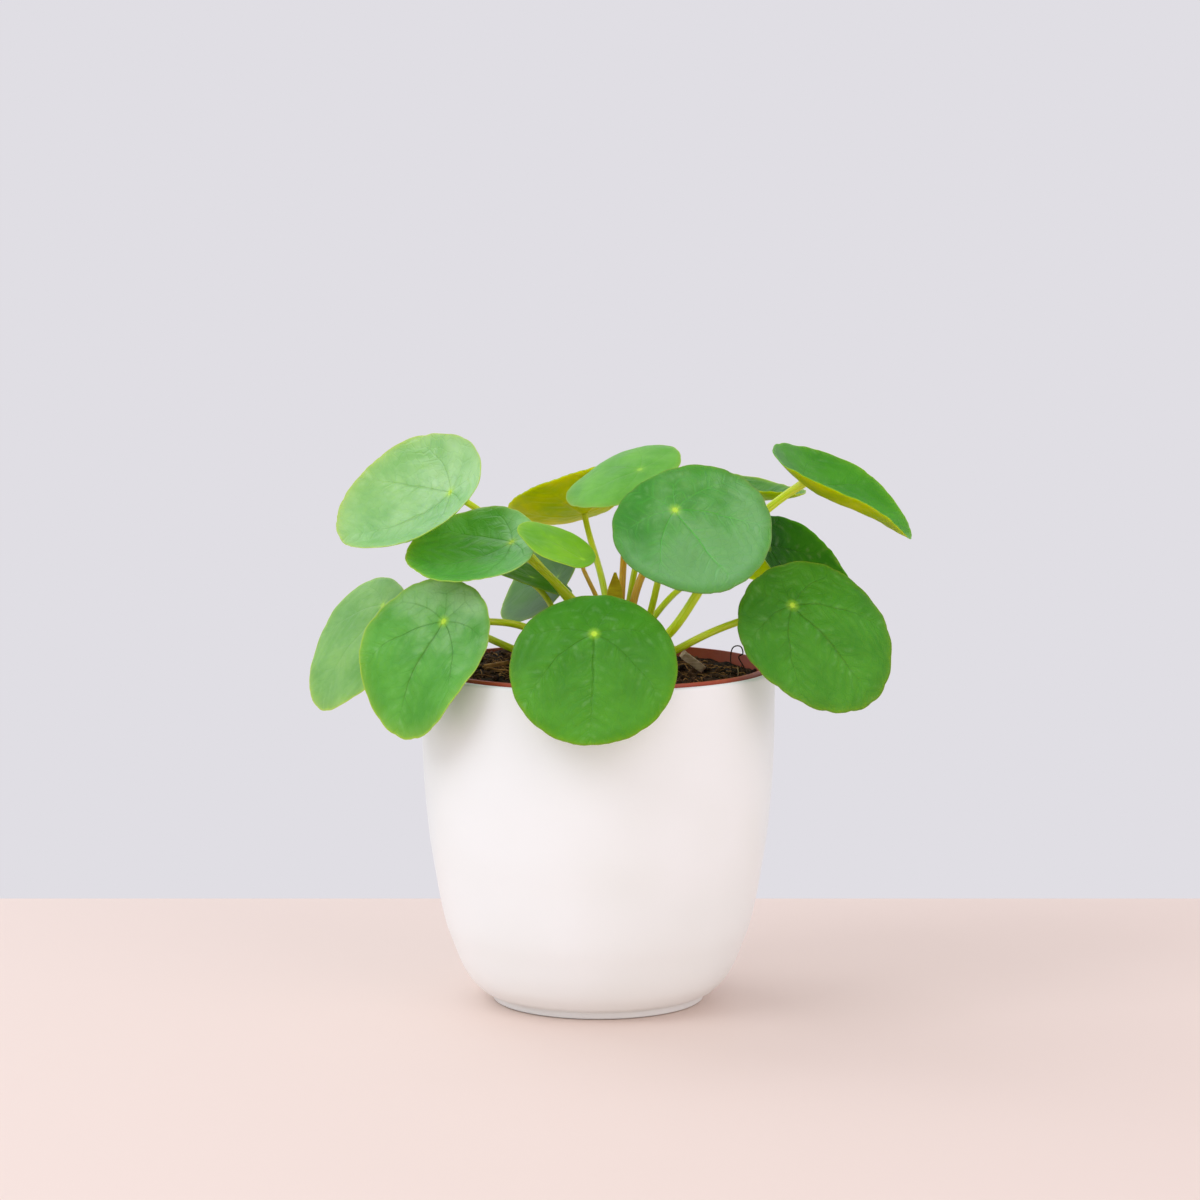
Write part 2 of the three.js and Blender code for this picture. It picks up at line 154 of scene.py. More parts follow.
def close_outward() -> None:
    """Turns all faces of the mesh in edit mode outwards, and leaves edit mode."""
    bpy.ops.mesh.select_all(action="SELECT")
    bpy.ops.mesh.normals_make_consistent(inside=False)
    bpy.ops.object.mode_set(mode="OBJECT")


def points_of(piece: Piece) -> np.ndarray:
    """Gives a piece's vertices as an array of points."""
    flat = np.empty(3 * len(piece.data.vertices))
    piece.data.vertices.foreach_get("co", flat)
    return flat.reshape(-1, 3)


def move_points(piece: Piece, points: np.ndarray) -> None:
    """Puts a piece's vertices at new points."""
    piece.data.vertices.foreach_set("co", points.astype(np.float32).ravel())
    piece.data.update()


def write_attribute(piece: Piece, name: str, values: np.ndarray) -> None:
    """Stores a vector on each vertex for the materials to read.

    Args:
        piece: The object that carries the values.
        name: The attribute's name.
        values: Three numbers for each vertex.
    """
    layer = piece.data.attributes.new(name, "FLOAT_VECTOR", "POINT")
    layer.data.foreach_set("vector", values.astype(np.float32).ravel())


def hand_in(piece: Piece, name: str, nodes: Iterable[str] = ()) -> None:
    """Names a finished piece and ties it to the solids.

    Args:
        piece: The finished object.
        name: The piece's name.
        nodes: The solids that it stands for.
    """
    piece.name = name
    piece.data.name = name
    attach(piece, BODY)
    for node in nodes:
        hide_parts(node)
    LOG.info("%s: %d faces", name, len(piece.data.polygons))


def curve_through(points: Profile, steps: int) -> list[tuple[float, float]]:
    """Runs a smooth curve through the points of a profile.

    Args:
        points: The points that the curve passes through.
        steps: How many pieces each span is cut into.

    Returns:
        The points along the curve, the given ones among them.
    """
    padded = np.array([points[0], *points, points[-1]], float)
    made = []
    for i in range(1, len(padded) - 2):
        before, here, after, beyond = padded[i - 1:i + 3]
        for step in range(steps):
            t = step / steps
            made.append(tuple(0.5 * (2 * here + (after - before) * t
                                     + (2 * before - 5 * here + 4 * after - beyond) * t * t
                                     + (3 * here - before - 3 * after + beyond) * t ** 3)))
    return [*made, tuple(padded[-1])]


def turned(profile: Profile, sides: int) -> Piece:
    """Raises a closed round form from a disc, one ring after another.

    Args:
        profile: Radius and height of each ring, from the middle of the underside
            outwards, up the outside and back to the middle on the inside.
        sides: How many sides the form has.

    Returns:
        The closed form.
    """
    deselect()
    radius, height = profile[0]
    bpy.ops.mesh.primitive_circle_add(
        vertices=sides, radius=radius * MM, fill_type="NGON", location=(0, 0, height * MM))
    piece = bpy.context.object
    bpy.ops.object.transform_apply()
    bpy.ops.object.mode_set(mode="EDIT")
    bpy.ops.mesh.select_all(action="SELECT")
    for next_radius, next_height in profile[1:]:
        bpy.ops.mesh.extrude_edges_move(
            TRANSFORM_OT_translate={"value": (0, 0, (next_height - height) * MM)})
        share = next_radius / radius
        bpy.ops.transform.resize(
            value=(share, share, 1), center_override=(0, 0, next_height * MM))
        radius, height = next_radius, next_height
    bpy.ops.mesh.edge_face_add()
    close_outward()
    return piece


def ringed_disc(spokes: int, rings: int) -> Piece:
    """Makes a flat disc of radius 1 as rings of faces about a middle point.

    Args:
        spokes: How many points each ring has.
        rings: How many rings there are.

    Returns:
        The flat disc.
    """
    deselect()
    bpy.ops.mesh.primitive_circle_add(vertices=spokes, radius=1, fill_type="NGON")
    disc = bpy.context.object
    bpy.ops.object.mode_set(mode="EDIT")
    bpy.ops.mesh.select_mode(type="FACE")
    bpy.ops.mesh.select_all(action="SELECT")
    for _ in range(rings - 1):
        bpy.ops.mesh.inset(thickness=1 / rings)
    bpy.ops.mesh.poke()
    bpy.ops.object.mode_set(mode="OBJECT")
    return disc


def copy_of(pattern: Piece) -> Piece:
    """Copies a piece together with its mesh."""
    twin = pattern.copy()
    twin.data = pattern.data.copy()
    bpy.context.scene.collection.objects.link(twin)
    return twin


def drop(piece: Piece) -> None:
    """Removes a pattern once its copies are made."""
    bpy.data.objects.remove(piece)


def tubes(courses: Iterable[tuple[np.ndarray, np.ndarray]], roundness: int) -> Piece:
    """Draws closed round tubes, all in one mesh.

    Args:
        courses: For each tube its points in millimetres and its radius at each one.
        roundness: How many extra cuts each quarter of the section has.

    Returns:
        The tubes as one object.
    """
    deselect()
    line = bpy.data.curves.new("tubes", "CURVE")
    line.dimensions = "3D"
    line.bevel_depth = MM
    line.bevel_resolution = roundness
    line.use_fill_caps = True
    for points, radii in courses:
        spline = line.splines.new("POLY")
        spline.points.add(len(points) - 1)
        for knot, place, radius in zip(spline.points, points, radii):
            knot.co = (*(place * MM), 1)
            knot.radius = radius
    piece = bpy.data.objects.new("tubes", line)
    bpy.context.scene.collection.objects.link(piece)
    pick(piece)
    bpy.ops.object.convert(target="MESH")
    piece = bpy.context.object
    bpy.ops.object.mode_set(mode="EDIT")
    bpy.ops.mesh.select_all(action="SELECT")
    bpy.ops.mesh.remove_doubles(threshold=1e-6)
    close_outward()
    return piece


def roughen(points: np.ndarray, size: float, depth: float, seed: float) -> np.ndarray:
    """Pushes points about by a cloud of smooth noise.

    The noise gets a fixed seed first, because without one it takes the clock's.

    Args:
        points: The points, in millimetres.
        size: How wide a lump is.
        depth: How far a point may move.
        seed: Which part of the cloud is used.

    Returns:
        The moved points.
    """
    noise.seed_set(NOISE_SEED)
    shift = Vector((seed, 2 * seed, 3 * seed))
    moves = [noise.noise_vector(Vector(p) / size + shift) for p in points]
    return points + depth * np.array(moves)


class Shade:
    """A material in the making: its nodes are added one after another."""

    def __init__(self, name: str) -> None:
        """Starts a material with one main shader."""
        self.material = bpy.data.materials.new(name)
        self.material.use_nodes = True
        self.tree = self.material.node_tree
        self.surface = self.tree.nodes["Principled BSDF"]

    def feed(self, socket: Socket, value: Value) -> None:
        """Links a socket to another one, or sets its value."""
        if isinstance(value, Socket):
            self.tree.links.new(value, socket)
        else:
            socket.default_value = value

    def add(self, kind: str, inputs: dict, **settings: object) -> bpy.types.Node:
        """Adds a node.

        Args:
            kind: The node's type.
            inputs: Values or sockets, by input name or number.
            **settings: Values for the node's own fields.

        Returns:
            The new node.
        """
        node = self.tree.nodes.new(kind)
        for key, value in settings.items():
            setattr(node, key, value)
        for key, value in inputs.items():
            self.feed(node.inputs[key], value)
        return node

    def math(self, operation: str, *values: Value) -> Socket:
        """Works out a sum of one to three values."""
        node = self.add("ShaderNodeMath", dict(enumerate(values)), operation=operation)
        return node.outputs[0]

    def between(self, value: Value, low: float, high: float, start: float = 0,
                end: float = 1) -> Socket:
        """Eases from one value to another as an input crosses a range.

        Args:
            value: The input.
            low: Where the easing starts.
            high: Where it ends.
            start: What comes out at the start.
            end: What comes out at the end.

        Returns:
            The eased value.
        """
        node = self.add("ShaderNodeMapRange", {
            "Value": value, "From Min": low, "From Max": high, "To Min": start, "To Max": end,
        }, interpolation_type="SMOOTHSTEP")
        return node.outputs[0]

    def mix(self, share: Value, first: Value, second: Value) -> Socket:
        """Mixes two colours.

        Args:
            share: How much of the second colour shows.
            first: The first colour.
            second: The second colour.

        Returns:
            The mixed colour.
        """
        node = self.add("ShaderNodeMix", {0: share, 6: first, 7: second}, data_type="RGBA")
        return node.outputs[2]

    def cloud(self, where: Value, scale: float, detail: float = 3,
              rough: float = 0.55) -> Socket:
        """Gives smooth noise from 0 to 1.

        Args:
            where: The coordinates.
            scale: How many lumps there are in a unit of length.
            detail: How many finer layers are added.
            rough: How strong the finer layers are.

        Returns:
            The noise.
        """
        node = self.add("ShaderNodeTexNoise", {
            "Vector": where, "Scale": scale, "Detail": detail, "Roughness": rough})
        return node.outputs[0]

    def attribute(self, name: str) -> Socket:
        """Reads a vector that is stored on the piece."""
        return self.add("ShaderNodeAttribute", {}, attribute_name=name).outputs["Vector"]

    def place(self) -> Socket:
        """Reads the point's place on the object, in metres."""
        return self.add("ShaderNodeTexCoord", {}).outputs["Object"]

    def split(self, vector: Value) -> Sequence[Socket]:
        """Splits a vector into its three numbers."""
        return self.add("ShaderNodeSeparateXYZ", {0: vector}).outputs

    def bump(self, height: Value, depth: float, strength: float,
             under: Socket | None = None) -> Socket:
        """Turns a height into a bumpy normal.

        Args:
            height: The height, from 0 to 1.
            depth: How high 1 stands, in millimetres.
            strength: How much of it is used.
            under: A bumpy normal that this one is laid over.

        Returns:
            The normal.
        """
        inputs = {"Height": height, "Distance": depth * MM, "Strength": strength}
        if under is not None:
            inputs["Normal"] = under
        return self.add("ShaderNodeBump", inputs).outputs[0]

    def finish(self, colour: Value, roughness: Value, normal: Socket | None = None,
               **fixed: Value) -> Material:
        """Feeds the main shader.

        Args:
            colour: The base colour.
            roughness: How rough the surface is.
            normal: The bumpy normal, if there is one.
            **fixed: Values that are the same all over, by the socket's name with
                spaces as underscores.

        Returns:
            The finished material.
        """
        self.feed(self.surface.inputs["Base Color"], colour)
        self.feed(self.surface.inputs["Roughness"], roughness)
        if normal is not None:
            self.feed(self.surface.inputs["Normal"], normal)
        for key, value in fixed.items():
            self.surface.inputs[key.replace("_", " ")].default_value = value
        return self.material


@dataclass(frozen=True)
class GlazeFinish:
    """Satin white glaze with a faint warm cloud in it."""

    light: int = 0xFAFFFF
    warm: int = 0xF5FAF8

    def material(self) -> Material:
        """Builds the glaze."""
        shade = Shade("white_glaze")
        where = shade.place()
        cloud = shade.cloud(where, 14, 2)
        colour = shade.mix(shade.between(cloud, 0.35, 0.7), rgb(self.light), rgb(self.warm))
        grain = shade.cloud(where, 900, 2)
        rough = shade.between(shade.cloud(where, 60, 3), 0.3, 0.7, 0.3, 0.38)
        return shade.finish(colour, rough, shade.bump(grain, 0.05, 0.12),
                            Coat_Weight=0.15, Coat_Roughness=0.2, Specular_IOR_Level=0.45)


@dataclass(frozen=True)
class PlasticFinish:
    """Terracotta coloured plastic with a fine grain and a little dust."""

    base: int = 0xB04A2E
    dust: int = 0xB5684E

    def material(self) -> Material:
        """Builds the plastic."""
        shade = Shade("terracotta_plastic")
        where = shade.place()
        dust = shade.between(shade.cloud(where, 120, 5, 0.7), 0.5, 0.72, 0, 0.5)
        colour = shade.mix(dust, rgb(self.base), rgb(self.dust))
        grain = shade.cloud(where, 2500, 2)
        rough = shade.between(dust, 0, 0.5, 0.42, 0.62)
        return shade.finish(colour, rough, shade.bump(grain, 0.05, 0.25))


@dataclass(frozen=True)
class PeatFinish:
    """Dark crumbly peat, from near-black painted shade, as in hollows, to tan crumbs."""

    name: str = "peat"
    # Near black: painted shade, as of hollows between the crumbs, laid by noise.
    dark: int = 0x150E0A
    brown: int = 0x4A3222
    tan: int = 0x8D6B4C
    tan_share: float = 0.62

    def material(self) -> Material:
        """Builds the peat."""
        shade = Shade(self.name)
        where = shade.place()
        coarse = shade.cloud(where, 180, 5, 0.65)
        fine = shade.cloud(where, 900, 4, 0.7)
        colour = shade.mix(shade.between(coarse, 0.36, 0.62), rgb(self.dark), rgb(self.brown))
        colour = shade.mix(shade.between(fine, self.tan_share, self.tan_share + 0.14),
                           colour, rgb(self.tan))
        return shade.finish(colour, 0.95, shade.bump(fine, 0.8, 0.8),
                            Specular_IOR_Level=0.2)


@dataclass(frozen=True)
class FibreFinish:
    """Dry fibre, bark and straw: streaked, dull and a little uneven."""

    name: str
    light: int
    dark: int
    scale: float = 700
    roughness: float = 0.85

    def material(self) -> Material:
        """Builds the fibre."""
        shade = Shade(self.name)
        where = shade.place()
        stretched = shade.add("ShaderNodeMapping", {"Vector": where, "Scale": (0.3, 1.0, 1.6)})
        streaks = shade.cloud(stretched.outputs[0], self.scale, 4, 0.65)
        colour = shade.mix(shade.between(streaks, 0.35, 0.68), rgb(self.dark), rgb(self.light))
        return shade.finish(colour, self.roughness, shade.bump(streaks, 0.3, 0.6),
                            Specular_IOR_Level=0.25)


@dataclass(frozen=True)
class StalkFinish:
    """A smooth juicy stalk: pale along its length, darker towards the soil."""

    tone: StalkTone
    light: int
    base: int
    foot: int

    def material(self) -> Material:
        """Builds the stalk's skin."""
        shade = Shade(self.tone.value)
        along, around, _ = shade.split(shade.attribute("stalk_course"))
        where = shade.place()
        streak = shade.add("ShaderNodeCombineXYZ", {
            0: shade.math("MULTIPLY", along, 3.0), 1: shade.math("MULTIPLY", around, 9.0)})
        streaks = shade.cloud(streak.outputs[0], 1.6, 3)
        colour = shade.mix(shade.between(streaks, 0.35, 0.7), rgb(self.base), rgb(self.light))
        colour = shade.mix(shade.between(along, 0.5, 0.0, 0, 0.6), colour, rgb(self.foot))
        colour = shade.mix(shade.between(along, 0.88, 1.0, 0, 0.6), colour, rgb(self.light))
        grain = shade.cloud(where, 1800, 2)
        return shade.finish(colour, 0.38, shade.bump(grain, 0.08, 0.3),
                            Specular_IOR_Level=0.3, Subsurface_Weight=0.8,
                            Subsurface_Scale=0.003, Subsurface_Radius=(1.0, 1.0, 0.1))


STALK_FINISHES = (
    StalkFinish(StalkTone.GREEN, 0xE4F058, 0xCAE600, 0xA4C400),
    StalkFinish(StalkTone.BROWN, 0xF4CC78, 0xE8BA38, 0xD0A810),
)


@dataclass(frozen=True)
class Vein:
    """One of the veins that run out from the spot where the stalk meets the blade."""

    angle: float
    reach: float
    width: float
    depth: float


VEINS = (
    Vein(0.0, 1.42, 0.62, 1.0),
    Vein(1.12, 1.25, 0.5, 0.8),
    Vein(1.95, 0.85, 0.42, 0.55),
    Vein(2.75, 0.5, 0.36, 0.4),
)
VEIN_BEND = 0.55
FEATHER_PITCH = 5.2
FEATHER_SLANT = 0.75
FAR = 1000.0


@dataclass(frozen=True)
class Look:
    """How a leaf's upper face looks: its gloss, veins, area of painted sheen, detail and margin.
    """

    gloss: float = 0.15
    # The vein tint as a share of the green; below 1 it is painted shade in the sunken veins.
    veins: float = 0.55
    # Sets a whitish spread of painted sheen: towards the apex if above 0, towards the stalk if
    # below.
    painted_sheen: float = 0.0
    detail: float = 1.0
    # The margin tone; a dark one is partly the margin's own colour and partly painted shade where
    # the blade curves down.
    edge: int = 0xA8C850


@dataclass(frozen=True)
class BladeFinish:
    """The skin of a blade: veins, a fine net, a cloudy green, a pale spot, painted sheen and
    painted shade.
    """

    side: Side
    tone: int
    size: float
    seed: float
    look: Look
    spot: int = 0xC8FF48
    glow: float = 0.5
    # The white that the painted sheen adds to the green.
    milk: float = 0.17
    deep: Sequence[float] = (0.62, 0.78, 0.62, 1)
    # How the specks of painted sheen lift each channel of the green.
    pale: Sequence[float] = (1.35, 1.16, 1.5, 1)
    satin: Sequence[float] = (0.36, 0.46)
    dull: Sequence[float] = (0.5, 0.62)

    def vein_mask(self, shade: Shade, reach: Value, turn: Value, plane: Value,
                  drift: Value) -> tuple[Socket, ...]:
        """Draws the main veins, the feather veins between them and the puckers of the skin.

        Args:
            shade: The material in the making.
            reach: The distance from the spot, in millimetres.
            turn: The direction from the spot, bent as the veins bend.
            plane: The point in the blade's own plane, +X to the apex.
            drift: Noise that makes the lines wander.

        Returns:
            The main veins, the feather veins and the puckers, each from 0 to 1.
        """
        wander = shade.math("MULTIPLY_ADD", drift, 0.16, turn)
        forward, sideways, _ = shade.split(plane)
        behind = shade.math("MAXIMUM", shade.math("MULTIPLY", forward, -1.0), 0.0)
        main: Value = 0.0
        nearest: Value = FAR
        for vein in VEINS:
            if vein.angle == 0:
                off = shade.math("ABSOLUTE", shade.math("MULTIPLY_ADD", drift, 2.5, sideways))
                off = shade.math("ADD", off, behind)
            else:
                off = shade.math("ABSOLUTE", shade.math("SUBTRACT", wander, vein.angle))
                off = shade.math("MULTIPLY", off, reach)
            line = shade.between(off, vein.width, 0.1, 0, vein.depth)
            line = shade.math("MULTIPLY", line, shade.between(
                reach, vein.reach * self.size, 0.45 * vein.reach * self.size))
            main = shade.math("MAXIMUM", main, line)
            nearest = shade.math("MINIMUM", nearest, off)
        course = shade.math("MULTIPLY_ADD", nearest, -FEATHER_SLANT, reach)
        course = shade.math("MULTIPLY_ADD", drift, 5.0, course)
        feather = shade.math("PINGPONG", course, FEATHER_PITCH / 2)
        beside = shade.between(nearest, 8.5, 1.0, 0.15, 1.0)
        pucker = shade.math("MULTIPLY", shade.between(feather, 1.0, 2.3), beside)
        feather = shade.math("MULTIPLY", shade.between(feather, 0.7, 0.05), beside)
        return main, feather, pucker

    def times(self, factors: Sequence[float]) -> Sequence[float]:
        """Gives the leaf's own green with each channel made stronger or weaker."""
        return tuple(min(1, c * k) for c, k in zip(rgb(self.tone), factors))

    def ground(self, shade: Shade, plane: Value, forward: Value, share: Value) -> Socket:
        """Mixes the cloudy green that lies under the veins, with specks and a spread of painted
        sheen.

        Args:
            shade: The material in the making.
            plane: The point in the blade's own plane, moved by the seed.
            forward: How far the point lies towards the apex, in millimetres.
            share: How far the point lies from the spot to the margin, from 0 to 1.

        Returns:
            The colour.
        """
        look, deep = self.look, self.times(self.deep)
        cloud = shade.cloud(plane, 0.07, 3)
        colour = shade.mix(shade.between(cloud, 0.3, 0.7), deep, rgb(self.tone))
        # Pale bluish specks laid by noise: painted sheen.
        sheen_fleck = shade.between(shade.cloud(plane, 0.25, 4), 0.55, 0.8, 0, 0.4)
        colour = shade.mix(sheen_fleck, colour, self.times(self.pale))
        # A whitish spread of painted sheen, laid by a slow cloud and the slope towards the apex or
        # the stalk, fading towards the margin.
        if look.painted_sheen:
            slope = math.copysign(0.4, look.painted_sheen) / self.size
            side = shade.math("MULTIPLY_ADD", forward, slope, shade.cloud(plane, 0.06, 2))
            sheen_patch = shade.math("MULTIPLY", shade.between(side, 0.3, 0.74),
                               shade.between(share, 1.0, 0.86, 0.25, 1.0))
            sheen_patch = shade.math("MULTIPLY", sheen_patch, abs(look.painted_sheen))
            colour = shade.mix(sheen_patch, colour, self.painted_sheen_tone())
        return colour

    def painted_sheen_tone(self) -> Sequence[float]:
        """Gives the leaf's own green with white in it: the tone of the painted sheen."""
        return tuple(min(1, c + self.milk) for c in rgb(self.tone)[:3]) + (1,)

    def material(self) -> Material:
        """Builds the skin for one face of a blade."""
        shade = Shade(f"blade_{self.side.value}_{self.seed:g}")
        look, detail, upper = self.look, self.look.detail, self.side is Side.UPPER
        reach, turn, share = shade.split(shade.attribute("leaf_polar"))
        flat = shade.attribute("leaf_plane")
        plane = shade.add("ShaderNodeVectorMath", {
            0: flat, 1: (self.seed, 3 * self.seed, 0)}, operation="ADD").outputs[0]
        drift = shade.math("SUBTRACT", shade.cloud(plane, 0.09, 2), 0.5)
        main, feather, pucker = self.vein_mask(shade, reach, turn, flat, drift)
        cells = shade.add("ShaderNodeTexVoronoi", {"Vector": plane, "Scale": 0.34},
                          feature="DISTANCE_TO_EDGE")
        net = shade.between(cells.outputs["Distance"], 0.09, 0.0)
        streak = shade.between(shade.cloud(plane, 0.3, 3), 0.4, 0.75, 0, 0.3 * detail)
        vein = self.times((look.veins, look.veins, look.veins, 1))
        edge, spot = rgb(look.edge), rgb(self.spot)
        layers = [
            (shade.math("MULTIPLY", net, 0.12), self.times(self.deep)),
            # Painted sheen on the crests of the puckers, streaked by a cloud.
            (shade.math("MULTIPLY", pucker, streak), self.painted_sheen_tone()),
            # The feather and main veins take the vein tint; where it is darker than the green, it
            # is painted shade in the sunken veins, over the bump.
            (shade.math("MULTIPLY", feather, 0.16 * detail), vein),
            (shade.math("MULTIPLY", main, 0.6 * detail), vein),
            # The margin takes the edge tone: a pale line on most leaves; a dark edge tone is
            # partly the margin's own colour, partly painted shade where the blade curves down.
            (shade.between(share, 0.84, 1.0, 0, 0.16), edge),
            (shade.between(share, 0.975, 1.0, 0, 0.5), edge)]
        if upper:
            layers += [(shade.between(reach, 3.4, 0.6, 0, 0.4 * detail), spot),
                       (shade.between(reach, 1.5, 0.6, 0, detail), spot)]
        colour = self.ground(shade, plane, shade.split(flat)[0], share)
        for mask, tint in layers:
            colour = shade.mix(mask, colour, tint)
        relief = shade.math("MULTIPLY_ADD", feather, 0.45, main)
        relief = shade.math("MULTIPLY_ADD", net, 0.2, relief)
        relief = shade.math("MULTIPLY", relief, -1.0 if upper else 1.0)
        normal = shade.bump(relief, 0.4, 0.6 * detail)
        normal = shade.bump(shade.cloud(plane, 1.4, 3), 0.05, 0.4, normal)
        rough = shade.between(shade.cloud(plane, 0.07, 3), 0.25, 0.75,
                              *(self.satin if upper else self.dull))
        return shade.finish(colour, rough, normal, Specular_IOR_Level=look.gloss,
                            Subsurface_Weight=self.glow, Subsurface_Scale=0.004,
                            Subsurface_Radius=(0.8, 1.0, 0.1))


@dataclass
class CoverPot:
    """The white cup: a small foot, a full belly and a rounded lip."""

    radius: float = 68
    height: float = 129
    wall: float = 2.2
    floor: float = 7
    sides: int = 192
    under: Profile = ((4, 0), (11.4, 0), (12.2, 0.5), (13, 1.2), (33, 1.2), (33.8, 0.5), (34.4, 0),
                      (40.2, 0), (40.8, 0.3), (41, 0.9), (41, 2.2), (41.4, 2.7), (42.6, 3.2))
    belly: Profile = ((45, 4.2), (49.7, 9), (53.2, 15), (56.2, 22.5), (58.9, 30), (61.2, 40),
                      (63.3, 52), (65.4, 66), (67.2, 86), (67.9, 106), (68, 127.6))

    def build(self) -> Piece:
        """Raises the cup from its underside."""
        bead = self.wall / 2
        outside = curve_through(self.belly, steps=5)
        lip = [(self.radius - bead + bead * math.cos(a), self.height - bead + bead * math.sin(a))
               for a in np.linspace(0.15, 3.0, 9)]
        inside = [(r - self.wall, h + 1) for r, h in reversed(outside) if h > self.floor]
        inside = [p for p in inside if p[1] < self.height - 2]
        floor = [(44.6, self.floor + 0.5), (43, self.floor), (8, self.floor)]
        return turned([*self.under, *outside, *lip, *inside, *floor], self.sides)

    def make(self) -> None:
        """Builds, dresses and hands in the cup."""
        piece = self.build()
        dress(piece, 50, GlazeFinish())
        hand_in(piece, "glazed_cover_pot", ["cover_pot"])


@dataclass
class NurseryPot:
    """The thin tapering pot that the plant grows in, with a rim band and drain holes."""

    rim: float = 65.2
    top: float = 130.2
    band: float = 15
    band_depth: float = 3.4
    middle: float = 60
    wall: float = 1.4
    base: float = 43
    low: float = 7.3
    sides: int = 160
    holes: int = 6
    hole_radius: float = 4
    hole_ring: float = 28

    def body(self, height: float) -> float:
        """Gives the radius of the tapered wall at a height."""
        shoulder = self.top - self.band
        spread = self.rim - self.band_depth - self.base
        return self.base + spread * (height - self.low) / (shoulder - self.low)

    def build(self) -> Piece:
        """Raises the pot and drills its drain holes."""
        rim, low, wall, top, middle = self.rim, self.low, self.wall, self.top, self.middle
        shoulder = top - self.band
        profile = [
            (4, low), (self.base - 1.5, low), (self.base - 0.5, low + 0.4),
            (self.body(low + 1.5), low + 1.5), (self.body(middle), middle),
            (self.body(shoulder - 0.5), shoulder - 0.5), (self.body(shoulder) + 0.3, shoulder),
            (rim - 0.8, shoulder + 0.3), (rim - 0.5, shoulder + 0.9), (rim - 0.2, top - 2.0),
            (rim, top - 0.8), (rim - 0.2, top - 0.25), (rim - 0.7, top),
            (rim - wall + 0.1, top - 0.1), (rim - wall, top - 0.6),
            (rim - wall - 0.8, shoulder + 3), (self.body(shoulder) - wall, shoulder - 1),
            (self.body(middle) - wall, middle), (self.body(low + 2) - wall, low + wall),
            (4, low + wall)]
        piece = turned(profile, self.sides)
        for i in range(self.holes):
            angle = 2 * math.pi * i / self.holes
            deselect()
            bpy.ops.mesh.primitive_cylinder_add(
                vertices=32, radius=self.hole_radius * MM, depth=6 * wall * MM,
                location=(self.hole_ring * math.cos(angle) * MM,
                          self.hole_ring * math.sin(angle) * MM, low * MM))
            drill = bpy.context.object
            apply_modifier(piece, "BOOLEAN", object=drill, operation="DIFFERENCE")
            drop(drill)
        return piece

    def make(self) -> None:
        """Builds, dresses and hands in the pot."""
        piece = self.build()
        dress(piece, 40, PlasticFinish())
        hand_in(piece, "nursery_pot_shell", ["nursery_pot"])


@dataclass
class Trunk:
    """The short woody stem, ringed by leaf scars, with the dry scale at its tip."""

    radius: float = 6
    foot: Point = (11, 0, 92)
    tip: Point = (5.8, 1, 153)
    step: float = 7
    groove: float = 0.16
    relief: float = 0.45
    layer: float = 0.8
    sides: int = 40

    def centre(self, height: float) -> np.ndarray:
        """Gives the middle of the trunk at a height."""
        foot, tip = np.array(self.foot), np.array(self.tip)
        return foot + (tip - foot) * (height - foot[2]) / (tip[2] - foot[2])

    def build(self) -> Piece:
        """Raises the stem, leans it and roughens its bark."""
        length = self.tip[2] - self.foot[2]
        profile = [(1.5, 0.0), (self.radius - 2, 0.1), (self.radius - 0.6, 3.0)]
        height = 4.0
        while height < length - 3:
            phase = (height % self.step) / self.step
            scar = self.relief * math.exp(-(phase / self.groove) ** 2)
            profile.append((self.radius - scar, height))
            height += self.layer
        profile += [(self.radius - 1.2, length - 2.5), (self.radius - 3.2, length - 0.6),
                    (1, length)]
        piece = turned(profile, self.sides)
        points = roughen(points_of(piece) / MM, size=3.0, depth=0.22, seed=4.0)
        for point in points:
            centre = self.centre(point[2] + self.foot[2])
            point += (centre[0], centre[1], self.foot[2])
        move_points(piece, points * MM)
        return piece

    def make(self) -> None:
        """Builds, dresses and hands in the stem."""
        piece = self.build()
        dress(piece, 60, FibreFinish("woody_stem", 0x8C7B45, 0x4E4224, 500))
        hand_in(piece, "woody_trunk", ["trunk"])


@dataclass
class Stipule:
    """The dry folded scale over the bud, a pointed leaflet no thicker than paper."""

    place: Point = (6.4, 1.5, 153.3)
    length: float = 12.2
    left: Profile = ((0, -3.2), (3, -3.2), (6.4, -2.5), (9.5, -1.3), (12.2, -0.3))
    right: Profile = ((0, 2.8), (3, 3.1), (6.4, 2.5), (9.5, 1.5), (12.2, 0.5))
    thick: float = 0.35
    columns: int = 10
    rows: int = 24

    def build(self) -> Piece:
        """Shapes a fine grid to the scale's outline and folds it along the middle."""
        deselect()
        bpy.ops.mesh.primitive_grid_add(
            x_subdivisions=self.columns, y_subdivisions=self.rows, size=1)
        piece = bpy.context.object
        points = points_of(piece)
        across, up = points[:, 0] + 0.5, points[:, 1] + 0.5
        height = up * self.length
        left = np.interp(height, *zip(*self.left))
        right = np.interp(height, *zip(*self.right))
        x = left + (right - left) * across
        fold = 0.9 * (1 - np.abs(2 * across - 1)) * (1 - 0.6 * up)
        curl = 0.5 * np.sin(2.2 * up + 0.6) + 0.12 * np.sin(1.9 * height + 4 * across)
        made = np.stack([x, -0.9 + 0.6 * fold + 0.3 * curl, height], axis=1) + self.place
        move_points(piece, made * MM)
        apply_modifier(piece, "SOLIDIFY", thickness=self.thick * MM, offset=0)
        return piece

    def make(self) -> None:
        """Builds, dresses and hands in the scale."""
        piece = self.build()
        dress(piece, 50, FibreFinish("dry_scale", 0xE0D01E, 0xC0A808, 300, 0.6))
        hand_in(piece, "stipule_scale", ["stipule"])


@dataclass(frozen=True)
class Dent:
    """A hollow in the soil."""

    x: float
    y: float
    radius: float
    depth: float


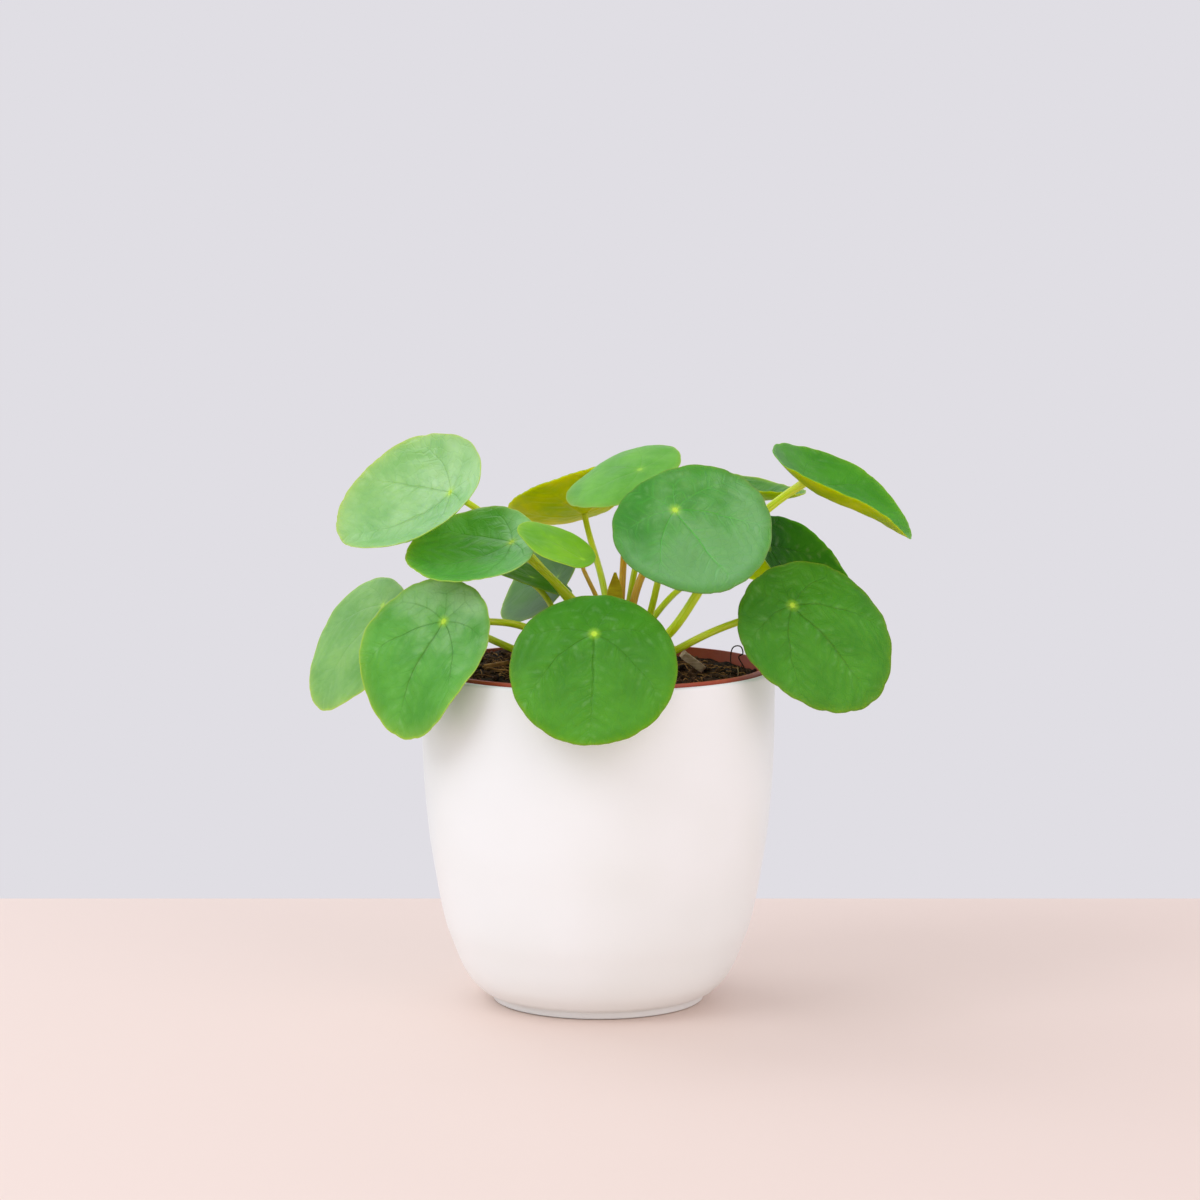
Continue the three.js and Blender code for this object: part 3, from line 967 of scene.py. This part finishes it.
@dataclass
class Soil:
    """Peat with crumbs, fibres, a dead root and a straw lying on it."""

    top: float = 128.3
    slant: float = -0.035
    relief: float = 1.2
    edge: float = 62.6
    spokes: int = 160
    rings: int = 56
    dents: tuple[Dent, ...] = (Dent(32, 2, 6, 2.2), Dent(41, 1, 5, 2.4), Dent(11, 0, 16, 1.8))
    sides: Profile = ((62.6, 119.2), (60.1, 114.2), (50.7, 60), (41.7, 9))
    crumbs: int = 900
    fibres: int = 260
    seed: int = 11

    def height(self, x: float, y: float) -> float:
        """Gives the height of the peat, before its crumbs, at a point."""
        lumps = (math.sin(0.31 * x + 1.1) * math.cos(0.27 * y - 0.6)
                 + 0.6 * math.sin(0.53 * x - 0.41 * y + 2) + 0.4 * math.cos(0.19 * x + 0.67 * y))
        rise = self.slant * x - 0.6 * ((x * x + y * y) / 3600) ** 2
        dents = sum(d.depth * math.exp(-((x - d.x) ** 2 + (y - d.y) ** 2) / d.radius ** 2)
                    for d in self.dents)
        return self.top + rise + 0.5 * self.relief * lumps - dents

    def crumbly(self, x: float, y: float) -> float:
        """Gives the height of the crumbly surface at a point."""
        spot = Vector((x, y, 0))
        coarse = noise.fractal(spot * 0.22, 0.8, 2.1, 4)
        cells = noise.voronoi(spot * 0.45)[0]
        fade = min(1.0, max(0.0, (self.edge - math.hypot(x, y)) / 3))
        return self.height(x, y) + fade * (0.9 * coarse + 0.9 * (cells[1] - cells[0]) - 0.45)

    def build_bed(self) -> Piece:
        """Makes the closed bed of peat with a crumbly top."""
        piece = ringed_disc(self.spokes, self.rings)
        points = points_of(piece) * self.edge
        for point in points:
            point[2] = self.crumbly(point[0], point[1])
        move_points(piece, points * MM)
        pick(piece)
        bpy.ops.object.mode_set(mode="EDIT")
        bpy.ops.mesh.select_mode(type="EDGE")
        bpy.ops.mesh.select_all(action="DESELECT")
        bpy.ops.mesh.select_non_manifold()
        radius = self.edge
        for next_radius, height in self.sides:
            bpy.ops.mesh.extrude_edges_move()
            share = next_radius / radius
            bpy.ops.transform.resize(value=(share, share, 0), center_override=(0, 0, height * MM))
            radius = next_radius
        bpy.ops.mesh.edge_face_add()
        close_outward()
        return piece

    def spread(self, dice: random.Random, margin: float) -> tuple[float, float]:
        """Draws a random point on the soil, clear of the pot's wall.

        Args:
            dice: The source of the draws.
            margin: How far from the wall the point keeps.

        Returns:
            The point's x and y.
        """
        far = (self.edge - margin) * math.sqrt(dice.random())
        angle = dice.uniform(0, 2 * math.pi)
        return far * math.cos(angle), far * math.sin(angle)

    def build_crumbs(self) -> Piece:
        """Models one crumb and strews copies of it, each turned and stretched its own way."""
        deselect()
        bpy.ops.mesh.primitive_ico_sphere_add(subdivisions=2, radius=1)
        pattern = bpy.context.object
        shape = roughen(points_of(pattern), size=0.9, depth=0.35, seed=2.0)
        faces = np.array([p.vertices[:] for p in pattern.data.polygons])
        drop(pattern)
        dice = random.Random(self.seed)
        places, corners = [], []
        for i in range(self.crumbs):
            x, y = self.spread(dice, 2.4)
            size = dice.choice((0.5, 0.7, 0.9, 1.3)) * dice.uniform(0.8, 1.3)
            turn = np.array(Matrix.Rotation(dice.uniform(0, 6.28), 3, Vector(
                (dice.gauss(0, 1), dice.gauss(0, 1), dice.gauss(0, 1) + 0.01))))
            grown = shape * (size * dice.uniform(0.9, 1.5), size, size * dice.uniform(0.5, 0.9))
            places.append(grown @ turn.T + (x, y, self.crumbly(x, y) + 0.25 * size))
            corners.append(faces + i * len(shape))
        mesh = bpy.data.meshes.new("crumbs")
        mesh.from_pydata(
            (np.concatenate(places) * MM).tolist(), [], np.concatenate(corners).tolist())
        piece = bpy.data.objects.new("crumbs", mesh)
        bpy.context.scene.collection.objects.link(piece)
        return piece

    def fibre(self, dice: random.Random) -> tuple[np.ndarray, np.ndarray]:
        """Draws the course of one fibre that lies on the peat.

        Args:
            dice: The source of the draws.

        Returns:
            Its points and its radius at each one.
        """
        x, y = self.spread(dice, 9)
        length, heading = dice.uniform(4, 13), dice.uniform(0, 6.28)
        bend = dice.uniform(-0.35, 0.35)
        knots = []
        for step in range(8):
            lift = 0.35 + 0.9 * math.sin(math.pi * step / 7) * dice.uniform(0.2, 1.1)
            knots.append((x, y, self.crumbly(x, y) + lift))
            heading += bend + dice.uniform(-0.2, 0.2)
            x += length / 7 * math.cos(heading)
            y += length / 7 * math.sin(heading)
        thick = dice.uniform(0.1, 0.26)
        return np.array(knots), np.array([thick * k for k in (0.5, 0.9, 1, 1, 1, 0.9, 0.8, 0.4)])

    def make(self) -> None:
        """Builds, dresses and hands in the peat and all that lies on it."""
        bed = self.build_bed()
        dress(bed, 80, PeatFinish())
        hand_in(bed, "peat_bed", ["soil"])
        crumbs = self.build_crumbs()
        # The crumbs' near-black tone is painted shade as well.
        dress(crumbs, 60, PeatFinish("peat_crumb", 0x20160F, 0x5C402B, 0x9A7654, 0.56))
        hand_in(crumbs, "peat_crumbs")
        dice = random.Random(self.seed + 1)
        tan = tubes([self.fibre(dice) for _ in range(self.fibres)], roundness=0)
        tan.data.materials.append(FibreFinish("tan_fibre", 0xC89A5C, 0x7A5230).material())
        hand_in(tan, "peat_fibres")
        self.make_strays()

    def make_strays(self) -> None:
        """Lays the fibre, the dead root and the straw that the front shows."""
        strays = {
            "curved_fibre": ([(-43, -22, 1.0), (-40, -25, 1.8), (-36, -26, 1.6), (-32, -24, 0.9)],
                             0.45, FibreFinish("curved_fibre", 0xD0A060, 0x8A6038)),
            "dead_root": ([(51.6, -6, 0.4), (50.8, -5, 6.2), (51.6, -5, 10.4), (54.6, -6, 10.8),
                           (55.4, -7, 8.6), (53.8, -7, 6.6), (56, -8, 3.4), (56.8, -8, 0.4)],
                          0.26, FibreFinish("dead_root", 0x3A2C22, 0x17100C)),
            "pale_straw": ([(53.2, -9, 3.6), (53.6, -9.6, 1.8), (53.4, -10, 0.5)],
                           0.22, FibreFinish("pale_straw", 0xD0B98C, 0x9A8159)),
        }
        for name, (knots, thick, finish) in strays.items():
            flat = curve_through([(k[0], k[1]) for k in knots], 5)
            lifts = [p[1] for p in curve_through([(i, k[2]) for i, k in enumerate(knots)], 5)]
            course = np.array([(x, y, self.height(x, y) + h) for (x, y), h in zip(flat, lifts)])
            taper = 1 - 0.55 * np.abs(np.linspace(-1, 1, len(course))) ** 3
            piece = tubes([(course, thick * taper)], roundness=2)
            dress(piece, 60, finish)
            hand_in(piece, name)


@dataclass(frozen=True)
class Chip:
    """A flake of bark that lies on the peat."""

    name: str
    at: Point
    rise: float
    turn: float
    thick: float
    outline: Profile
    tone: int = 0xDCC4AC
    streak: int = 0xA88C74

    def build(self) -> Piece:
        """Cuts the flake from its outline, thickens it and weathers it."""
        deselect()
        bpy.ops.mesh.primitive_circle_add(vertices=len(self.outline), radius=1, fill_type="NGON")
        piece = bpy.context.object
        move_points(piece, np.array([(x, y, 0) for x, y in self.outline]) * MM)
        bpy.ops.object.mode_set(mode="EDIT")
        bpy.ops.mesh.select_all(action="SELECT")
        bpy.ops.mesh.extrude_region_move(TRANSFORM_OT_translate={"value": (0, 0, self.thick * MM)})
        bpy.ops.mesh.select_all(action="SELECT")
        bpy.ops.mesh.quads_convert_to_tris()
        bpy.ops.mesh.subdivide(number_cuts=5)
        close_outward()
        apply_modifier(piece, "BEVEL", width=0.12 * MM, segments=1, angle_limit=0.6)
        grain = (1, 3, 1)
        points = roughen(points_of(piece) / MM * grain, size=2.4, depth=0.3, seed=7.0) / grain
        turn = Matrix.Rotation(math.radians(self.turn), 3, "Z") @ Matrix.Rotation(
            -math.radians(self.rise), 3, "Y")
        move_points(piece, (points @ np.array(turn).T + self.at) * MM)
        return piece

    def make(self) -> None:
        """Builds, dresses and hands in the flake."""
        piece = self.build()
        dress(piece, 35, FibreFinish(f"bark_{self.name}", self.tone, self.streak, 450))
        hand_in(piece, f"bark_flake_{self.name}", [f"bark_chip_{self.name}"])


CHIPS = (
    Chip("right", (35.5, 2, 129.6), -38, 6, 3,
         ((-5, -2.6), (4.2, -2.2), (5.6, 0.4), (4.4, 2.8), (-3.6, 2.2), (-5.6, 0))),
    Chip("left", (-39, -10, 130.6), 6, 24, 1.4,
         ((-5.4, -0.8), (0, -2), (5.2, -0.6), (4.6, 1), (0, 0.4), (-4.6, 1.2)),
         0xD4A464, 0x96683C),
)


@dataclass(frozen=True)
class Leaf:
    """One leaf: a round blade and the stalk that meets it off its middle.

    The first fields place and shape the blade as in the part's source, the next ones
    its stalk, and the last ones colour them.
    """

    name: str
    spot: Point
    facing: float
    lean: float
    turn: float
    size: float
    width: float
    offset: float
    dome: float
    droop: float
    taper: float
    lobes: float
    stalk: float
    bearing: float
    base: float
    climb: float
    neck: float
    hold: float
    upper: int
    look: Look = Look()
    under: int = 0x7C9848
    tone: StalkTone = StalkTone.GREEN
    crenate: float = 0.35

    def rise(self, x: np.ndarray, y: np.ndarray) -> np.ndarray:
        """Gives the height of the blade over its own plane at points of the unit disc."""
        radius = np.hypot(x, y)
        lobes = self.lobes * radius ** 4 * np.sin(5 * np.arctan2(y, x) + self.turn)
        return lobes - self.size * (self.dome * radius ** 2 + self.droop * np.maximum(0, x) ** 2)

    def surface(self, x: np.ndarray, y: np.ndarray) -> np.ndarray:
        """Gives the blade's middle surface, in its own axes, at points of the unit disc."""
        level = self.rise(np.array(-self.offset), np.array(0.0))
        return np.stack([self.size * (x + self.offset),
                         self.size * self.width * y * (1 - self.taper * x),
                         self.rise(x, y) - level], axis=-1)

    def stance(self) -> np.ndarray:
        """Gives the turn that brings the blade's own axes to where the leaf holds them."""
        facing = Matrix.Rotation(math.radians(self.facing), 3, "Z")
        lean = Matrix.Rotation(math.radians(self.lean), 3, "Y")
        return np.array(facing @ lean @ Matrix.Rotation(math.radians(self.turn), 3, "Z"))


# In each Look the third value lays a spread of painted sheen on the upper face.
LEAVES = (
    # The dark edge tones of the front, centre, mid_right and lower_right leaves are partly the
    # margins' own colour, partly painted shade where their blades curve down.
    Leaf("upper_left", (-56.4, -5, 196.8), -124, 43, -46, 30.8, .92, .46, -.43, .09, .11, .4,
         1.3, 180, 140, 55, 1.3, .4, 0x92C880, Look(.8, .8, -.5)),
    Leaf("mid_left", (-32.7, -20, 179.1), -109, 29, -56, 25.4, .98, .6, -.23, -.04, .13, .4,
         1.5, 221, 144.6, 39, -.39, .41, 0x56B238, Look(.6, .8, -.9)),
    Leaf("young", (-5.9, -34, 173.9), -42, 30, -160, 15.8, .95, .75, -.02, .04, .06, .2,
         .8, 234, 149, 75, .18, .19, 0x7ABC14, Look(detail=.25), tone=StalkTone.BROWN, crenate=.1),
    Leaf("far_left", (-83.4, 10, 151.7), -143, 58, -21, 28.8, .93, .64, .03, .11, .14, .4,
         1.3, 214, 130.6, 6, -.23, .63, 0x7CB062, Look(.3, .8, detail=.4)),
    Leaf("lower_left", (-57.8, -36, 150.8), -122, 55, -17, 30.1, .93, .46, -.11, .59, .04, .4,
         1.3, 213, 138, 6, -.8, .61, 0x5EA846, Look(painted_sheen=-.95), crenate=.55),
    Leaf("front", (-1.5, -60, 149), -92, 52, 0, 32.9, .93, .46, .07, -.12, .05, .3,
         1.4, 262, 132, 20, .2, .33, 0x449018, Look(veins=.8, painted_sheen=.08, edge=0x466410)),
    Leaf("back_left", (-16.1, 45, 158.9), -146, 50, -70, 21.9, .97, .46, -.11, .2, .1, .25,
         1.1, 128, 132, 25, .2, .33, 0x4C7A3C, Look(detail=.2)),
    Leaf("under_left", (-26, 18, 161.7), -12, 23, 180, 23, .96, .28, -.02, 0, 0, .25,
         1.1, 181, 130.3, 8, -.44, .45, 0x347610, Look(.05, detail=.3)),
    Leaf("back_top_left", (-5.7, 62, 183.2), 113, 33, 134, 26.1, .95, .46, -.2, .18, .02, .3,
         1.2, 112, 139.1, 91, -.13, .32, 0x2E6C0C, under=0xB4A800),
    Leaf("back_top", (15.9, -4, 205.3), -136, 29, -89, 24.1, .95, .46, .18, .1, .03, .25,
         1.2, 71, 149, 79, -.3, .58, 0x68AE3A, Look(detail=.3), tone=StalkTone.BROWN),
    Leaf("centre", (28.9, -26, 191.8), -91, 47, 32, 29.9, .99, .46, -.14, .03, .09, .4,
         1.2, 348, 132.2, 73, -.29, .43, 0x36921E, Look(.5, 1.7, .55, edge=0x4A6A24), crenate=.5),
    Leaf("back_right", (48.8, 45, 194.5), -13, 11, -14, 23.2, .96, .46, -.25, -.04, -.03, .3,
         1.3, 45, 144.1, 80, -.01, .5, 0x528A3A, under=0x98A200, tone=StalkTone.BROWN),
    Leaf("upper_right", (78.7, -10, 201.6), -24, 23, 18, 30.7, .93, .48, -.3, .39, .25, .27,
         1.6, 298, 137.5, 0, -1.34, .58, 0x449418, Look(detail=.6, edge=0x66A030), 0xA0A000),
    Leaf("mid_right", (66.4, 30, 173.3), -34, 49, 31, 25.9, .96, .69, -.31, .06, .03, .3,
         1.1, -1, 138.4, 56, .4, .53, 0x266208, Look(.05, edge=0x2E6414)),
    Leaf("lower_right", (72.9, -32, 156.4), -71, 56, 34, 31.9, .92, .46, .09, .13, .07, .4,
         1.3, 309, 129, 16, -.47, .56, 0x46902A, Look(edge=0x3C4A14), crenate=.75),
    Leaf("hidden_back", (50, 50, 176), 60, 50, -40, 18, .96, .46, .04, .1, 0, .25,
         1.1, 66, 141, 66, -.37, .92, 0x8CB41E, under=0xA0AA00),
)


@dataclass
class Foliage:
    """All the leaves: every blade is shaped from one ringed disc, every stalk from a line."""

    leaves: tuple[Leaf, ...] = LEAVES
    spokes: int = 144
    rings: int = 40
    notches: int = 18
    notch: float = 0.012
    swell: float = 0.14
    sink: float = 0.36
    wave: float = 0.5
    blade: float = 0.8
    skin: float = 0.6
    margin: float = 0.06
    margin_skin: float = 0.45
    gap: float = 0.3
    flare: float = 1.2
    steps: int = 26
    spacing: float = 7.0

    def vein_space(self, leaf: Leaf, flat: np.ndarray) -> tuple[np.ndarray, np.ndarray]:
        """Gives how far and in which direction points lie from the spot.

        Args:
            leaf: The leaf.
            flat: Points of the blade in its own axes.

        Returns:
            The distance in millimetres, and the direction bent as the veins bend.
        """
        reach = np.hypot(flat[:, 0], flat[:, 1])
        turn = np.arctan2(np.abs(flat[:, 1]), flat[:, 0])
        return reach, turn + VEIN_BEND * reach / leaf.size * np.sin(turn)

    def relief(self, leaf: Leaf, reach: np.ndarray, turn: np.ndarray,
               flat: np.ndarray) -> np.ndarray:
        """Gives how far the blade sinks along its veins and swells between them.

        Args:
            leaf: The leaf.
            reach: The distance from the spot.
            turn: The bent direction from the spot.
            flat: The points in the blade's own axes.

        Returns:
            The height of the relief in millimetres.
        """
        sunk = np.zeros(len(reach))
        nearest = np.full(len(reach), FAR)
        for vein in VEINS:
            off = reach * np.abs(turn - vein.angle)
            fade = np.clip(1.6 - 1.6 * reach / (vein.reach * leaf.size), 0, 1)
            sunk = np.maximum(sunk, vein.depth * fade * np.exp(-off ** 2))
            nearest = np.minimum(nearest, off)
        course = 2 * np.pi * (reach - FEATHER_SLANT * nearest) / FEATHER_PITCH
        swell = (1 - np.exp(-(nearest / 2) ** 2)) * np.cos(course) * np.clip(reach / 8, 0, 1)
        waves = np.array([noise.noise(Vector((*p[:2], leaf.turn)) / 9) for p in flat])
        fine = leaf.look.detail * (self.swell * swell - self.sink * sunk)
        return fine + self.wave * waves * np.clip(reach / 10, 0, 1)

    def build_blade(self, leaf: Leaf, disc: Piece, seed: float) -> Piece:
        """Shapes a copy of the disc into a blade, and dresses its two faces.

        Args:
            leaf: The leaf.
            disc: The flat ringed disc.
            seed: Which part of the clouds its skins use.

        Returns:
            The closed blade, in place.
        """
        piece = copy_of(disc)
        upper = BladeFinish(Side.UPPER, leaf.upper, leaf.size, seed, leaf.look)
        under = BladeFinish(Side.UNDER, leaf.under, leaf.size, seed,
                            Look(0.08, 1.2, detail=0.4, edge=leaf.under), glow=1.0)
        piece.data.materials.append(upper.material())
        piece.data.materials.append(under.material())
        unit = points_of(piece)
        share = np.hypot(unit[:, 0], unit[:, 1])
        angle = np.arctan2(unit[:, 1], unit[:, 0])
        wave = np.abs(np.sin(self.notches / 2 * angle + 0.35 * np.sin(2 * angle + leaf.turn)))
        edge = 1 + self.notch * (0.3 + leaf.crenate * (2 * wave ** 0.8 - 1.3))
        x = -leaf.offset + share * (edge * np.cos(angle) + leaf.offset)
        y = share * edge * np.sin(angle)
        points = leaf.surface(x, y)
        reach, turn = self.vein_space(leaf, points)
        points[:, 2] += self.relief(leaf, reach, turn, points)
        write_attribute(piece, "leaf_polar", np.stack([reach, turn, share], axis=1))
        write_attribute(piece, "leaf_plane", points * (1, 1, 0))
        move_points(piece, (points @ leaf.stance().T + leaf.spot) * MM)
        group = piece.vertex_groups.new(name="thick")
        for i, at in enumerate(share):
            group.add([i], max(0.0, min(1.0, (1.0 - at) / self.margin)), "REPLACE")
        apply_modifier(piece, "SOLIDIFY", thickness=self.skin * MM, offset=0,
                       vertex_group="thick", thickness_vertex_group=self.margin_skin,
                       material_offset=1, use_even_offset=False)
        return piece

    def course(self, leaf: Leaf, trunk: Trunk) -> np.ndarray:
        """Gives the points that a stalk follows from the trunk to its blade.

        Args:
            leaf: The leaf.
            trunk: The trunk that it grows from.

        Returns:
            The points in millimetres.
        """
        bearing, climb = math.radians(leaf.bearing), math.radians(leaf.climb)
        out = np.array([math.cos(bearing), math.sin(bearing), 0])
        clear = trunk.radius + self.gap + self.flare * leaf.stalk * math.sin(climb)
        start = trunk.centre(leaf.base) + out * clear
        away = out * math.cos(climb) + (0, 0, math.sin(climb))
        square = np.array([-2 * leaf.dome * leaf.offset, 0, 1])
        normal = leaf.stance() @ square / np.linalg.norm(square)
        spot = np.array(leaf.spot)
        straight = (spot - start) / np.linalg.norm(spot - start)
        arrive = straight + (normal - straight) * leaf.neck
        arrive /= np.linalg.norm(arrive)
        tilt = math.sin(math.acos(float(np.clip(arrive @ normal, -1, 1))))
        end = spot - normal * (self.blade / 2 + self.gap + leaf.stalk * tilt)
        reach = leaf.hold * np.linalg.norm(end - start)
        t = np.linspace(0, 1, self.steps)[:, None]
        path = ((1 - t) ** 3 * start + 3 * (1 - t) ** 2 * t * (start + away * reach)
                + 3 * (1 - t) * t ** 2 * (end - arrive * reach) + t ** 3 * end)
        root = start - out * (1.2 * self.gap + 0.4)
        return np.array([root, *path, spot - normal * 0.2])

    def build_stalk(self, leaf: Leaf, trunk: Trunk) -> Piece:
        """Draws a stalk that swells where it leaves the trunk and where it meets the blade.

        Args:
            leaf: The leaf.
            trunk: The trunk that it grows from.

        Returns:
            The closed stalk, in place.
        """
        path = self.course(leaf, trunk)
        along = np.concatenate([[0], np.cumsum(np.linalg.norm(np.diff(path, axis=0), axis=1))])
        left = along[-1] - along
        along = along / along[-1]
        radii = leaf.stalk * (self.flare + (1 - self.flare) * along)
        radii *= 1 + 0.18 * np.exp(-(left / 2.2) ** 2)
        piece = tubes([(path, radii)], roundness=3)
        points = points_of(piece) / MM
        nearest = np.argmin(np.linalg.norm(points[:, None] - path[None], axis=2), axis=1)
        off = points - path[nearest]
        around = np.arctan2(off[:, 1], off[:, 0]) / math.pi
        write_attribute(piece, "stalk_course",
                        np.stack([along[nearest], np.abs(around), 0 * around], axis=1))
        return piece

    def make(self, trunk: Trunk) -> None:
        """Builds, dresses and hands in every blade and stalk."""
        disc = ringed_disc(self.spokes, self.rings)
        skins = {finish.tone: finish.material() for finish in STALK_FINISHES}
        for seed, leaf in enumerate(self.leaves):
            blade = self.build_blade(leaf, disc, self.spacing * seed)
            smooth(blade, 60)
            hand_in(blade, f"blade_{leaf.name}", [f"leaf_{leaf.name}"])
            stalk = self.build_stalk(leaf, trunk)
            smooth(stalk, 60)
            stalk.data.materials.append(skins[leaf.tone])
            hand_in(stalk, f"stalk_{leaf.name}", [f"petiole_{leaf.name}"])
        drop(disc)


@dataclass(frozen=True)
class Lamp:
    """A square soft light that looks at the plant, in metres and watts."""

    name: str
    at: Point
    size: float
    power: float
    tint: int
    aim: Point = (0, 0, 0.14)

    def hang(self) -> None:
        """Hangs the light."""
        data = bpy.data.lights.new(self.name, "AREA")
        data.size, data.energy, data.color = self.size, self.power, rgb(self.tint)[:3]
        lamp = bpy.data.objects.new(self.name, data)
        lamp.location = self.at
        sight = Vector(self.aim) - Vector(self.at)
        lamp.rotation_euler = sight.to_track_quat("-Z", "Y").to_euler()
        bpy.context.scene.collection.objects.link(lamp)


@dataclass
class Studio:
    """The pale table, the soft lights and the camera."""

    table: int = 0xEBD8CD
    wall: int = 0xE0DEE4
    half: tuple[float, float] = (3.2, 1.6)
    below: float = 0.0002
    far_edge: float = 195
    camera: Point = (0, -1337, 303)
    pitch: float = 6.32
    lens: float = 105
    shift: float = 0.0015
    lamps: tuple[Lamp, ...] = (Lamp("window", (-1.3, -0.9, 1.5), 1.1, 12, 0xF3F8FF),
                               Lamp("skylight", (-1.0, 0.9, 1.7), 1.6, 11, 0xF3F8FF),
                               Lamp("fill", (1.2, -1.3, 0.9), 1.4, 6.5, 0xFFEAE6))

    def make(self) -> None:
        """Sets up the table, the light and the camera."""
        scene = bpy.context.scene
        scene.view_settings.view_transform = "Standard"
        deselect()
        bpy.ops.mesh.primitive_plane_add(size=2)
        table = bpy.context.object
        table.name = "table"
        middle = (0, self.far_edge * MM - self.half[1], -self.below)
        move_points(table, points_of(table) * (*self.half, 0) + middle)
        shade = Shade("pale_table")
        table.data.materials.append(shade.finish(rgb(self.table), 0.6))
        world = bpy.data.worlds.new("studio")
        world.use_nodes = True
        world.node_tree.nodes["Background"].inputs[0].default_value = rgb(self.wall)
        scene.world = world
        for lamp in self.lamps:
            lamp.hang()
        lens = bpy.data.cameras.new("camera")
        lens.lens, lens.shift_x = self.lens, self.shift
        eye = bpy.data.objects.new("camera", lens)
        eye.location = Vector(self.camera) * MM
        eye.rotation_euler = (math.radians(90 - self.pitch), 0, 0)
        scene.collection.objects.link(eye)
        scene.camera = eye


def main() -> None:
    logging.basicConfig(level=logging.INFO, format="%(name)s %(message)s")
    Studio().make()
    CoverPot().make()
    NurseryPot().make()
    Soil().make()
    trunk = Trunk()
    trunk.make()
    Stipule().make()
    for chip in CHIPS:
        chip.make()
    Foliage().make(trunk)
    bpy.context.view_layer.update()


if __name__ == "__main__":
    main()
